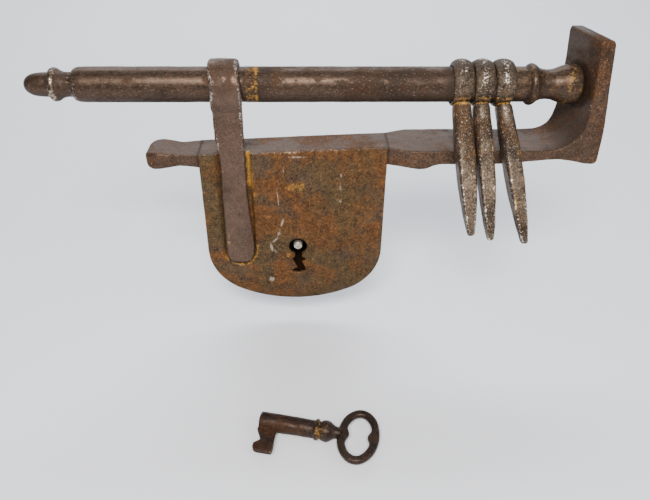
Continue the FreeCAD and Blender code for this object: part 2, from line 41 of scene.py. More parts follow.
def smoothStep(low, high, value):  # 0 at low, 1 at high, an S-curve between them
    t = np.clip((value - low) / (high - low), 0, 1)
    return t * t * (3 - 2 * t)


def hump(value, centre, width):  # a bell curve, 1 at the centre
    return np.exp(-((value - centre) / width) ** 2)


def latticeNoise(points, size, seed):
    # random values on a cubic lattice of that size, joined by S-curves, from -1 to 1
    p = points / size
    cell = np.floor(p).astype(np.int64)
    f = p - cell
    f = f * f * (3 - 2 * f)
    total = np.zeros(len(points))
    for corner in range(8):
        d = np.array([corner & 1, corner >> 1 & 1, corner >> 2 & 1])
        n = cell + d
        h = (n[:, 0] * 374761393 + n[:, 1] * 668265263 + n[:, 2] * 1274126177 + seed * 974711) & 0x7fffffff
        h = (h ^ (h >> 13)) * 1103515245 & 0x7fffffff
        h = (h ^ (h >> 15)) * 12345659 & 0x7fffffff
        total += np.prod(np.where(d == 1, f, 1 - f), axis=1) * (h / 0x3fffffff - 1)
    return total


def along(stations, columns, samples):
    # straight-line values between given stations, spaced evenly along the path in those two columns
    table = np.array(stations, float)
    reach = np.concatenate([[0], np.cumsum(np.hypot(*np.diff(table[:, columns], axis=0).T))])
    t = np.linspace(0, reach[-1], samples)
    return np.stack([np.interp(t, reach, c) for c in table.T], axis=1)


def eased(values, width):
    # running mean along the rows, with the end rows kept where they are
    half = width // 2
    before = 2 * values[:1] - values[half:0:-1]
    after = 2 * values[-1:] - values[-2:-half - 2:-1]
    padded = np.concatenate([before, values, after])
    return np.stack([np.convolve(c, np.ones(width) / width, "valid") for c in padded.T], axis=1)


def tubeFaces(rings, sides):
    # quads between neighbouring rings, and a fan to one pole point at each end
    i, j = np.meshgrid(np.arange(rings - 1), np.arange(sides), indexing="ij")
    a = i * sides + j
    b = i * sides + (j + 1) % sides
    quads = np.stack([a, b, b + sides, a + sides], axis=-1).reshape(-1, 4)
    j = np.arange(sides)
    last = (rings - 1) * sides
    first = np.stack([np.full(sides, rings * sides), (j + 1) % sides, j], axis=1)
    end = np.stack([np.full(sides, rings * sides + 1), last + j, last + (j + 1) % sides], axis=1)
    return quads.tolist() + first.tolist() + end.tolist()


def loopFaces(rings, sides):
    # quads on a ring of rings, closed both ways
    i, j = np.meshgrid(np.arange(rings), np.arange(sides), indexing="ij")
    n = (i + 1) % rings
    k = (j + 1) % sides
    quads = np.stack([i * sides + j, i * sides + k, n * sides + k, n * sides + j], axis=-1)
    return quads.reshape(-1, 4).tolist()


def sectionRing(halfWidth, halfThick, corner, cornerSteps=6, sideSteps=8, crown=0.0):
    # a rounded rectangle per row: four corner arcs joined by straight sides, the +thick side raised by
    # crown times one minus the square of the way across
    w, t, r = (np.asarray(v, float)[:, None] for v in (halfWidth, halfThick, corner))
    r = np.minimum(r, np.minimum(w, t) * 0.98)
    xs, zs, wear = [], [], []
    signs = [(1, 1), (-1, 1), (-1, -1), (1, -1)]
    for quarter in range(4):
        sx, sz = signs[quarter]
        nx, nz = signs[(quarter + 1) % 4]
        a = np.linspace(quarter * math.pi / 2, (quarter + 1) * math.pi / 2, cornerSteps)[None, :]
        x = sx * (w - r) + r * np.cos(a)
        z = sz * (t - r) + r * np.sin(a)
        b = (quarter + 1) * math.pi / 2
        endX = nx * (w - r) + r * math.cos(b)
        endZ = nz * (t - r) + r * math.sin(b)
        share = np.linspace(0, 1, sideSteps + 1)[None, 1:-1]
        xs += [x, x[:, -1:] * (1 - share) + endX * share]
        zs += [z, z[:, -1:] * (1 - share) + endZ * share]
        wear += [np.ones(cornerSteps), np.abs(2 * share[0] - 1) ** 8 * 0.6]
    x = np.concatenate(xs, axis=1)
    z = np.concatenate(zs, axis=1)
    lift = np.asarray(crown, float) * np.clip(z / t, 0, 1) * (1 - np.minimum((x / w) ** 2, 1))
    return x, z + lift, np.concatenate(wear)


def sweep(centre, side, thick, x, z):
    # each ring's flat outline laid on its own side and thickness directions
    return centre[:, None, :] + side[:, None, :] * x[..., None] + thick[:, None, :] * z[..., None]


def withPoles(ring):
    # all rings' points in one list, then the middles of the first and the last ring as poles
    return np.concatenate([ring.reshape(-1, 3), [ring[0].mean(axis=0), ring[-1].mean(axis=0)]])


def pathFrames(path):
    # unit directions along a flat path
    tangent = np.gradient(path, axis=0)
    return tangent / np.hypot(*tangent.T)[:, None]


def turned(profile, sides, stepLength):
    # a profile of (along, radius) carried round the X axis, resampled evenly along its own length
    pts = np.array(profile, float)
    lengths = np.concatenate([[0], np.cumsum(np.hypot(*np.diff(pts, axis=0).T))])
    count = int(lengths[-1] / stepLength)
    t = np.linspace(0, lengths[-1], count)
    line = eased(np.stack([np.interp(t, lengths, c) for c in pts.T], axis=1), 3)
    x, r = line[:, 0], np.maximum(line[:, 1], 0.02)
    a = np.linspace(0, 2 * math.pi, sides, endpoint=False)
    ring = np.stack([np.broadcast_to(x[:, None], (count, sides)),
                     r[:, None] * np.cos(a), r[:, None] * np.sin(a)], axis=-1)
    points = np.concatenate([ring.reshape(-1, 3), [[x[0], 0, 0], [x[-1], 0, 0]]])
    bulge = np.repeat(np.clip((r - eased(r[:, None], 13)[:, 0]) * 2.5, 0, 1), sides)
    return points, tubeFaces(count, sides), np.append(bulge, [0, 0])


def makePiece(name, points, faces, wear=None, grime_and_shade=None, ochre=None):
    # points in millimetres become one closed mesh in metres with its faces outward; how rubbed or lit by a
    # painted highlight, how grimy or darkened by painted shade, and how yellow each point is stays on the mesh,
    # and faces that look down get painted shade
    mesh = bpy.data.meshes.new(name)
    mesh.from_pydata((points * mm).tolist(), [], faces)
    mesh.update()
    mesh.calc_loop_triangles()
    tri = np.zeros(len(mesh.loop_triangles) * 3, np.int32)
    mesh.loop_triangles.foreach_get("vertices", tri)
    a, b, c = (points[tri.reshape(-1, 3)[:, k]] for k in range(3))
    if np.einsum("ij,ij->i", a, np.cross(b, c)).sum() < 0:
        mesh.flip_normals()
    normal = np.zeros(len(points) * 3, np.float32)
    mesh.vertices.foreach_get("normal", normal)
    # painted shade: faces that look down are darkened, up to 0.8
    under = smoothStep(0.1, -0.9, normal.reshape(-1, 3)[:, 2]) * 0.8
    blank = np.zeros(len(points))
    values = {"wear": blank if wear is None else wear, "ochre": blank if ochre is None else ochre,
              "grime_and_shade": np.maximum(under, blank if grime_and_shade is None else grime_and_shade)}
    for label, value in values.items():
        attribute = mesh.attributes.new(label, "FLOAT", "POINT")
        attribute.data.foreach_set("value", np.clip(value, 0, 1).astype(np.float32))
    mesh.shade_smooth()
    piece = bpy.data.objects.new(name, mesh)
    bpy.context.scene.collection.objects.link(piece)
    return piece


def forge(piece, dents):
    # moves every point along its normal by lattice noise: one (size, height, seed) in millimetres per layer
    mesh = piece.data
    count = len(mesh.vertices)
    co = np.zeros(count * 3)
    normal = np.zeros(count * 3, np.float32)
    mesh.vertices.foreach_get("co", co)
    mesh.vertices.foreach_get("normal", normal)
    co = co.reshape(-1, 3)
    shift = sum(latticeNoise(co / mm, size, seed) * height for size, height, seed in dents)
    co = co + normal.reshape(-1, 3) * shift[:, None] * mm
    mesh.vertices.foreach_set("co", co.ravel())
    mesh.update()
    return piece


def finishPiece(piece, body, slot, material, *nodes):
    # one material and one body; the slot is not used; the CAD nodes named last are replaced
    piece.data.materials.append(material)
    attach(piece, body)
    if nodes:
        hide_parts(*nodes)
    return piece


def mathNode(tree, operation, a, b=None, clamp=False):
    # one Math node; each input is a number or another node's output
    node = tree.nodes.new("ShaderNodeMath")
    node.operation = operation
    node.use_clamp = clamp
    for index, value in enumerate((a, b)):
        if isinstance(value, (int, float)):
            node.inputs[index].default_value = value
        elif value is not None:
            tree.links.new(value, node.inputs[index])
    return node.outputs[0]


def times(tree, a, b, clamp=False):
    return mathNode(tree, "MULTIPLY", a, b, clamp)


def plus(tree, a, b, clamp=False):
    return mathNode(tree, "ADD", a, b, clamp)


def minus(tree, a, b, clamp=False):
    return mathNode(tree, "SUBTRACT", a, b, clamp)


def weighed(tree, *parts):
    # the sum of each value times its weight
    total = None
    for value, weight in parts:
        share = times(tree, value, weight)
        total = share if total is None else plus(tree, total, share)
    return total


def swung(tree, start, *parts):
    # start plus, for each noise, its distance from one half times its gain
    for noise, gain in parts:
        swing = times(tree, minus(tree, noise, 0.5), gain)
        start = swing if start is None else plus(tree, start, swing)
    return start


def rampNode(tree, value, low, high, outLow=0.0, outHigh=1.0):
    # an S-curve that takes low to outLow and high to outHigh
    node = tree.nodes.new("ShaderNodeMapRange")
    node.interpolation_type = "SMOOTHSTEP"
    for name, setting in (("From Min", low), ("From Max", high), ("To Min", outLow), ("To Max", outHigh)):
        if isinstance(setting, (int, float)):
            node.inputs[name].default_value = setting
        else:
            tree.links.new(setting, node.inputs[name])
    tree.links.new(value, node.inputs["Value"])
    return node.outputs["Result"]


def mixColour(tree, factor, a, b, kind="MIX"):
    node = tree.nodes.new("ShaderNodeMix")
    node.data_type = "RGBA"
    node.blend_type = kind
    for index, value in ((0, factor), (6, a), (7, b)):
        if isinstance(value, (int, float)):
            node.inputs[index].default_value = value
        elif isinstance(value, tuple):
            node.inputs[index].default_value = (*value, 1)
        else:
            tree.links.new(value, node.inputs[index])
    return node.outputs[2]


def noiseNode(tree, vector, scale, detail=4.0, roughness=0.6, distortion=0.0):
    node = tree.nodes.new("ShaderNodeTexNoise")
    node.inputs["Scale"].default_value = scale
    node.inputs["Detail"].default_value = detail
    node.inputs["Roughness"].default_value = roughness
    node.inputs["Distortion"].default_value = distortion
    tree.links.new(vector, node.inputs["Vector"])
    return node.outputs["Fac"]


def mapped(tree, vector, scale=(1, 1, 1), offset=(0, 0, 0)):
    node = tree.nodes.new("ShaderNodeMapping")
    node.inputs["Scale"].default_value = scale
    node.inputs["Location"].default_value = offset
    tree.links.new(vector, node.inputs["Vector"])
    return node.outputs["Vector"]


def greyOf(tree, value):
    node = tree.nodes.new("ShaderNodeCombineColor")
    for channel in range(3):
        tree.links.new(value, node.inputs[channel])
    return node.outputs[0]


def buildIronSkin():
    # rust over bare iron: wide noise decides where, middle and fine noise break the edges up, pits are
    # small Voronoi cells; rubbed edges and painted highlights bring bright metal back, grime and painted shade
    # darken it, nooks carry yellow rust
    g = bpy.data.node_groups.new("ironSkin", "ShaderNodeTree")
    colours = (("Bare", (0.12, 0.1, 0.09, 1)), ("Brown", (0.12, 0.06, 0.03, 1)),
               ("Second", (0.1, 0.06, 0.03, 1)), ("Orange", (0.35, 0.13, 0.03, 1)),
               ("Bright", (0.5, 0.45, 0.4, 1)))
    numbers = (("Rust", 0.5), ("Bloom", 0.3), ("Speck", 0.3), ("Pits", 0.5), ("Contrast", 1.0),
               ("Wear", 0.0), ("Grime_and_shade", 0.0), ("Ochre", 0.0))
    g.interface.new_socket(name="Vector", in_out="INPUT", socket_type="NodeSocketVector")
    for name, value in colours:
        g.interface.new_socket(name=name, in_out="INPUT", socket_type="NodeSocketColor").default_value = value
    for name, value in numbers:
        g.interface.new_socket(name=name, in_out="INPUT", socket_type="NodeSocketFloat").default_value = value
    g.interface.new_socket(name="Colour", in_out="OUTPUT", socket_type="NodeSocketColor")
    for name in ("Roughness", "Metallic", "Height"):
        g.interface.new_socket(name=name, in_out="OUTPUT", socket_type="NodeSocketFloat")
    gi = g.nodes.new("NodeGroupInput").outputs
    go = g.nodes.new("NodeGroupOutput").inputs
    v = gi["Vector"]
    wide = noiseNode(g, v, 22, 5, 0.6, 0.5)
    other = noiseNode(g, mapped(g, v, offset=(0.37, 0.11, 0.23)), 16, 4, 0.6, 0.8)
    mid = noiseNode(g, v, 130, 6, 0.7, 0.2)
    fine = noiseNode(g, mapped(g, v, offset=(0.05, 0.13, 0.07)), 620, 4, 0.7)
    grain = noiseNode(g, v, 1500, 2, 0.6)
    cells = g.nodes.new("ShaderNodeTexVoronoi")
    cells.inputs["Scale"].default_value = 330
    g.links.new(mapped(g, v, offset=(0.013, 0.007, 0.003)), cells.inputs["Vector"])
    pit = rampNode(g, cells.outputs["Distance"], 0.0, 0.4, 1.0, 0.0)
    pitPlace = rampNode(g, noiseNode(g, mapped(g, v, offset=(0.31, 0.17, 0.05)), 60, 4, 0.6), 0.46, 0.62)
    pit = times(g, times(g, pit, pitPlace), gi["Pits"])
    base = weighed(g, (wide, 0.5), (mid, 0.32), (fine, 0.18))
    low = minus(g, 0.66, times(g, gi["Rust"], 0.36))
    rust = rampNode(g, base, low, plus(g, low, 0.09))
    brown = mixColour(g, rampNode(g, other, 0.42, 0.58), gi["Brown"], gi["Second"])
    colour = mixColour(g, rust, gi["Bare"], brown)
    flecks = weighed(g, (mid, 0.35), (fine, 0.45), (grain, 0.2))
    bloomLow = minus(g, 0.66, times(g, gi["Bloom"], 0.2))
    bloom = rampNode(g, flecks, bloomLow, plus(g, bloomLow, 0.07))
    bloom = times(g, bloom, rampNode(g, other, 0.36, 0.6, 0.3, 1.0))
    bloom = times(g, bloom, plus(g, times(g, rust, 0.7), 0.3))
    colour = mixColour(g, bloom, colour, gi["Orange"])
    depth = swung(g, None, (fine, 2.6), (mid, 1.6), (grain, 1.5))
    shade = plus(g, times(g, depth, gi["Contrast"]), 1.0)
    shade = mathNode(g, "MAXIMUM", shade, 0.25)
    colour = mixColour(g, 1.0, colour, greyOf(g, shade), "MULTIPLY")
    colour = mixColour(g, times(g, pit, 0.8), colour, (0.012, 0.008, 0.006))
    # the grime input darkens the colour: real grime, and painted shade where pieces set it under things, in
    # creases and inside the case
    grime_and_shade = times(g, gi["Grime_and_shade"], rampNode(g, mid, 0.3, 0.6, 0.75, 1.0))
    colour = mixColour(g, times(g, grime_and_shade, 0.75), colour, (0.014, 0.009, 0.006))
    yellow = swung(g, gi["Ochre"], (mid, 2.2), (fine, 2.4))
    yellow = times(g, rampNode(g, yellow, 0.25, 0.95), rampNode(g, gi["Ochre"], 0.02, 0.3), True)
    colour = mixColour(g, times(g, yellow, 0.85), colour, (0.38, 0.19, 0.03))
    # the wear input brings bright metal back: rubbed metal, and painted highlights where pieces set it
    worn = swung(g, times(g, gi["Wear"], 0.62), (mid, 1.4), (fine, 1.8))
    worn = times(g, rampNode(g, worn, 0.5, 0.78), rampNode(g, gi["Wear"], 0.03, 0.3))
    speck = rampNode(g, weighed(g, (fine, 0.6), (grain, 0.4)), 0.57, 0.66)
    speck = times(g, times(g, speck, gi["Speck"]), rampNode(g, wide, 0.42, 0.6, 0.35, 1.0))
    speck = times(g, speck, minus(g, 1.0, grime_and_shade))
    worn = mathNode(g, "MAXIMUM", worn, speck, True)
    colour = mixColour(g, worn, colour, gi["Bright"])
    g.links.new(colour, go["Colour"])
    rough = rampNode(g, rust, 0.0, 1.0, 0.38, 0.62)
    rough = swung(g, rough, (fine, 0.5))
    rough = plus(g, rough, times(g, mathNode(g, "MAXIMUM", yellow, grime_and_shade), 0.2))
    rough = minus(g, rough, times(g, worn, 0.2), True)
    g.links.new(mathNode(g, "MAXIMUM", rough, 0.2), go["Roughness"])
    metal = minus(g, 0.65, times(g, rust, 0.45))
    metal = minus(g, metal, times(g, bloom, 0.3))
    metal = minus(g, metal, times(g, mathNode(g, "MAXIMUM", yellow, grime_and_shade), 0.7))
    metal = plus(g, metal, times(g, worn, 0.6), True)
    g.links.new(metal, go["Metallic"])
    height = weighed(g, (mid, 0.5), (fine, 0.3), (grain, 0.1), (bloom, 0.06))
    height = minus(g, height, times(g, pit, 0.4))
    g.links.new(height, go["Height"])
    return g


def spotMask(tree, vector, mark):
    # strongest inside an oval on the front, given in millimetres as (x, z, half width, half height,
    # slant, strength)
    x, z, halfX, halfZ, slant, strength = mark
    flat = tree.nodes.new("ShaderNodeSeparateXYZ")
    tree.links.new(vector, flat.inputs[0])
    dx = minus(tree, flat.outputs[0], x * mm)
    dz = minus(tree, flat.outputs[2], z * mm)
    dx = minus(tree, dx, times(tree, dz, slant))
    a = mathNode(tree, "POWER", times(tree, dx, 1 / (halfX * mm)), 2)
    b = mathNode(tree, "POWER", times(tree, dz, 1 / (halfZ * mm)), 2)
    d = mathNode(tree, "SQRT", plus(tree, a, b))
    return rampNode(tree, d, 0.1, 1.3, strength, 0.0)


def spotSum(tree, vector, marks):
    # the strongest of all the ovals at each place
    total = None
    for mark in marks:
        mask = spotMask(tree, vector, mark)
        total = mask if total is None else mathNode(tree, "MAXIMUM", total, mask)
    return total


def ironMaterial(name, skin, values):
    # the shared skin with this piece's own colours; its marks add rubbed metal, yellow rust and pale
    # scrapes in ovals on the front
    material = bpy.data.materials.new(name)
    material.use_nodes = True
    tree = material.node_tree
    tree.nodes.clear()
    out = tree.nodes.new("ShaderNodeOutputMaterial")
    shader = tree.nodes.new("ShaderNodeBsdfPrincipled")
    coords = tree.nodes.new("ShaderNodeTexCoord").outputs["Object"]
    node = tree.nodes.new("ShaderNodeGroup")
    node.node_tree = skin
    tree.links.new(mapped(tree, coords, values.get("stretch", (1, 1, 1)), values.get("offset", (0, 0, 0))),
                   node.inputs["Vector"])
    for key in ("Bare", "Brown", "Second", "Orange", "Bright"):
        node.inputs[key].default_value = (*values[key.lower()], 1)
    for key in ("Rust", "Bloom", "Speck", "Pits", "Contrast"):
        node.inputs[key].default_value = values[key.lower()]
    for key in ("Wear", "Grime_and_shade", "Ochre"):
        attribute = tree.nodes.new("ShaderNodeAttribute")
        attribute.attribute_name = key.lower()
        value = times(tree, attribute.outputs["Fac"], values.get(key.lower(), 1.0))
        marks = values.get(key.lower() + "Marks")
        if marks:
            value = mathNode(tree, "MAXIMUM", value, spotSum(tree, coords, marks))
        tree.links.new(value, node.inputs[key])
    colour, rough = node.outputs["Colour"], node.outputs["Roughness"]
    metal = times(tree, node.outputs["Metallic"], values.get("metal", 1.0))
    if "paleMarks" in values:
        broken = noiseNode(tree, mapped(tree, coords, (1.0, 1.0, 0.5)), 260, 6, 0.7, 1.2)
        spots = spotSum(tree, coords, values["paleMarks"])
        pale = swung(tree, spots, (broken, 1.8))
        pale = times(tree, rampNode(tree, pale, 0.45, 0.9), rampNode(tree, spots, 0.1, 0.4))
        colour = mixColour(tree, times(tree, pale, 0.8), colour, (0.33, 0.27, 0.21))
        metal = times(tree, metal, minus(tree, 1.0, pale))
    bump = tree.nodes.new("ShaderNodeBump")
    bump.inputs["Strength"].default_value = values["bump"]
    bump.inputs["Distance"].default_value = 0.0012
    tree.links.new(node.outputs["Height"], bump.inputs["Height"])
    tree.links.new(colour, shader.inputs["Base Color"])
    tree.links.new(rough, shader.inputs["Roughness"])
    tree.links.new(metal, shader.inputs["Metallic"])
    tree.links.new(bump.outputs["Normal"], shader.inputs["Normal"])
    shader.inputs["Specular IOR Level"].default_value = 0.12
    tree.links.new(shader.outputs["BSDF"], out.inputs["Surface"])
    return material


skin = buildIronSkin()
looks = {
    "rod": dict(bare=(0.068, 0.044, 0.031), brown=(0.05, 0.025, 0.013), second=(0.034, 0.021, 0.014),
                orange=(0.15, 0.055, 0.015), bright=(0.38, 0.3, 0.23), rust=0.45, bloom=0.3, speck=0.4,
                pits=0.12, contrast=0.8, stretch=(0.7, 1, 1), bump=0.3, wear=0.9),
    "frame": dict(bare=(0.072, 0.043, 0.028), brown=(0.075, 0.034, 0.014), second=(0.036, 0.021, 0.013),
                  orange=(0.2, 0.075, 0.018), bright=(0.5, 0.42, 0.36), rust=0.5, bloom=0.4, speck=0.35,
                  pits=0.12, contrast=1.1, bump=0.35, wear=0.6, metal=0.5),
    "case": dict(bare=(0.075, 0.047, 0.027), brown=(0.1, 0.042, 0.014), second=(0.066, 0.041, 0.018),
                 orange=(0.19, 0.068, 0.013), bright=(0.36, 0.27, 0.18), rust=0.66, bloom=0.42, speck=0.35,
                 pits=0.3, contrast=1.25, bump=0.5, wear=0.7, metal=0.6,
                 ochreMarks=[(128, -93, 17, 8, 0.2, 0.36), (116, -168, 3.5, 4, 0, 0.7),
                             (95, -130, 3, 12, 0, 0.3), (86, -160, 3, 9, 0, 0.4)],
                 paleMarks=[(166.5, -80, 2.6, 4.5, -0.2, 0.6), (166, -93, 3.6, 7, -0.2, 0.62),
                            (166, -106, 3.6, 7, -0.1, 0.62), (107.5, -104, 0.9, 17, -0.08, 0.9),
                            (110.5, -131, 1.6, 8, 0.3, 1), (108, -141, 3.4, 8, 0.3, 0.75),
                            (103.5, -150, 2.2, 5, 0.9, 1), (99.5, -158, 2.2, 9, -0.2, 1),
                            (103, -163, 3.6, 4, -0.5, 0.7), (98.5, -198, 4.4, 6, 0, 0.85),
                            (113.5, -74, 1, 7, 0, 0.7), (126, -61, 14, 1.8, 0, 0.8)]),
    "hasp": dict(bare=(0.1, 0.064, 0.046), brown=(0.068, 0.036, 0.021), second=(0.05, 0.03, 0.022),
                 orange=(0.2, 0.07, 0.02), bright=(0.55, 0.48, 0.43), rust=0.42, bloom=0.25, speck=0.15,
                 pits=0.08, contrast=0.75, bump=0.3, wear=0.75, ochreMarks=[(58.5, -146, 2, 12, 0, 0.45)]),
    "spike": dict(bare=(0.1, 0.072, 0.05), brown=(0.08, 0.04, 0.017), second=(0.032, 0.022, 0.015),
                  orange=(0.22, 0.075, 0.016), bright=(0.66, 0.58, 0.5), rust=0.42, bloom=0.35, speck=0.8,
                  pits=0.5, contrast=1.6, bump=0.6, wear=0.9, ochreMarks=[(316, -84, 3, 13, 0, 0.5)]),
    "key": dict(bare=(0.048, 0.032, 0.025), brown=(0.045, 0.02, 0.01), second=(0.03, 0.02, 0.016),
                orange=(0.17, 0.058, 0.014), bright=(0.42, 0.34, 0.28), rust=0.5, bloom=0.28, speck=0.2,
                pits=0.5, contrast=1.0, bump=0.5, wear=0.6),
    "pin": dict(bare=(0.38, 0.33, 0.27), brown=(0.16, 0.095, 0.05), second=(0.15, 0.1, 0.07),
                orange=(0.3, 0.14, 0.05), bright=(0.75, 0.7, 0.64), rust=0.3, bloom=0.2, speck=0.5,
                pits=0.3, contrast=0.8, bump=0.3),
    # inner: a darker copy of the iron, painted shade for the pieces inside the case
    "inner": dict(bare=(0.03, 0.022, 0.018), brown=(0.03, 0.018, 0.01), second=(0.022, 0.014, 0.01),
                  orange=(0.09, 0.035, 0.01), bright=(0.2, 0.18, 0.16), rust=0.55, bloom=0.3, speck=0.2,
                  pits=0.5, contrast=0.8, bump=0.4),
}
looks["back"] = {key: value for key, value in looks["case"].items() if not key.endswith("Marks")}
materials = {name: ironMaterial(name + "Iron", skin, values) for name, values in looks.items()}
print("materials ready")


rodShape = {
    "left": [(-107.6, 0), (-107.3, 2.3), (-106.2, 4.8), (-104.2, 6.9), (-101, 8.7), (-97, 9.7), (-91, 10.3),
             (-85.6, 10.4), (-84.9, 10.7), (-84.3, 12.8), (-83, 14.0), (-80.6, 14.6), (-78.6, 13.9),
             (-76, 12.1), (-73, 10.8), (-70, 10.5), (-66.5, 10.6), (-65, 11.2), (-64.2, 13.2),
             (-63, 14.0), (-60, 14.8)],
    "bare": [(-55, 15.1), (54, 15.1), (55, 14.9), (82, 14.9), (83, 15.1), (325.6, 15.1)],
    "right": [(326.6, 14.4), (327.4, 14.6), (328.2, 16.6), (329.8, 17.8), (331.8, 18.0), (334, 17.0),
              (336.6, 14.8), (340.4, 13.1), (345.4, 12.6), (350, 13.0), (354, 14.4), (358, 16.0),
              (362.5, 17.0), (366, 17.1), (369.6, 16.9), (369.9, 16.5), (370.3, 16.8), (372.2, 16.0),
              (373.2, 13.8), (373.4, 12.2), (374.2, 12.0), (374.6, 7.6), (389.2, 7.5), (389.6, 5.5), (390, 0)],
    "sides": 96, "step": 0.7,
    "dents": [(14, 0.12, 3), (3.5, 0.05, 5)],  # size, height and seed of each layer
}


def buildRod():
    # the profile turned about the rod's axis, then dented lightly by lattice noise
    s = rodShape
    points, faces, wear = turned(s["left"] + s["bare"] + s["right"], s["sides"], s["step"])
    x = points[:, 0]
    # bright on the collar edges at -84 and -63.6 and round -66: rubbed metal, with a painted highlight on the
    # ridges
    rubbedAndHighlight = hump(x, -63.6, 1.5) + hump(x, -84, 1.2) + 0.6 * hump(x, -66, 5)
    wear = wear * smoothStep(320, 300, x)
    # darker in the left neck, in the groove at the right collar and just left of the first spike, and a painted
    # shadow line where the knob meets the arm
    grime_and_shade = 0.5 * hump(x, -71, 6) + hump(x, 373, 3) + 0.8 * hump(x, 326.6, 1.6) + 0.7 * hump(x, 258, 5)
    ochre = 0.42 * hump(x, 92.5, 1.6) + 0.3 * smoothStep(81, 84, x) * smoothStep(97, 88, x)
    ochre += 0.16 * smoothStep(305, 318, x) + 0.1 * hump(x, 362, 5)
    piece = makePiece("boltRod", points, faces, wear + rubbedAndHighlight, grime_and_shade, ochre)
    forge(piece, s["dents"])
    return finishPiece(piece, "lock_frame", "rod_iron", materials["rod"], "bolt_rod")


buildRod()
print("rod done")


frameShape = {
    # inner edge x and z, outer edge x and z, half depth, corner radius
    "stations": [
        (-12.4, -64.6, -12.4, -66.8, 4.0, 0.6), (-11.8, -61.6, -11.8, -70.6, 9.0, 2.0),
        (-9.6, -59.4, -9.6, -73.2, 13.6, 3.2), (-5.0, -58.0, -5.0, -74.2, 16.6, 3.2),
        (1.0, -57.5, 1.0, -73.6, 17.4, 2.8), (9.0, -58.6, 9.0, -72.4, 16.4, 2.2),
        (19.0, -60.2, 19.0, -71.2, 15.2, 1.8), (28.0, -60.2, 28.0, -71.0, 16.6, 1.4),
        (36.8, -59.8, 36.8, -71.4, 18.0, 1.2), (37.2, -59.8, 37.2, -71.4, 18.0, 1.2),
        (208.0, -52.7, 208.0, -69.0, 18.0, 1.2), (208.6, -52.6, 208.6, -69.0, 18.0, 1.2),
        (214.0, -52.5, 214.0, -69.2, 20.2, 1.5), (221.0, -52.4, 221.0, -69.0, 23.0, 1.6),
        (228.0, -52.4, 228.0, -69.4, 25.4, 1.8), (236.0, -52.5, 236.0, -70.5, 26.0, 1.8),
        (242.5, -52.5, 242.5, -69.8, 26.0, 1.6), (249.0, -52.5, 249.0, -66.6, 26.0, 1.4),
        (255.0, -52.5, 255.0, -65.2, 26.0, 1.4), (314.0, -52.5, 314.0, -65.0, 26.0, 1.4),
        (340.0, -52.5, 340.0, -62.2, 26.0, 1.5), (353.5, -51.9, 361.0, -60.4, 26.0, 1.6),
        (360.5, -49.6, 374.0, -62.2, 26.0, 1.8), (366.4, -46.1, 387.2, -65.3, 26.0, 1.6),
        (369.4, -43.1, 394.6, -65.3, 26.0, 1.2), (372.2, -39.2, 396.9, -63.0, 26.0, 1.2),
        (375.0, -31.0, 395.6, -53.0, 26.0, 1.4), (376.0, -20.0, 392.8, -36.0, 26.0, 1.6),
        (375.2, -4.0, 389.8, -8.0, 26.0, 1.6), (374.2, 14.0, 386.9, 14.0, 25.8, 1.6),
        (371.8, 39.6, 383.9, 40.6, 25.4, 1.6), (371.7, 42.6, 383.4, 43.4, 25.2, 1.6),
        (372.8, 43.8, 382.4, 44.0, 24.8, 1.4)],
    "rings": 640, "twist": 0.185, "twistShift": 1.43, "front": 15.1, "trough": (49.5, 57.3, 85.4, 82.2),
    "floor": 9.8, "bounds": (37.2, 208.0), "reach": 397.0,
    "dents": [(26, 0.28, 11), (9, 0.12, 12), (2.5, 0.04, 13)],
}


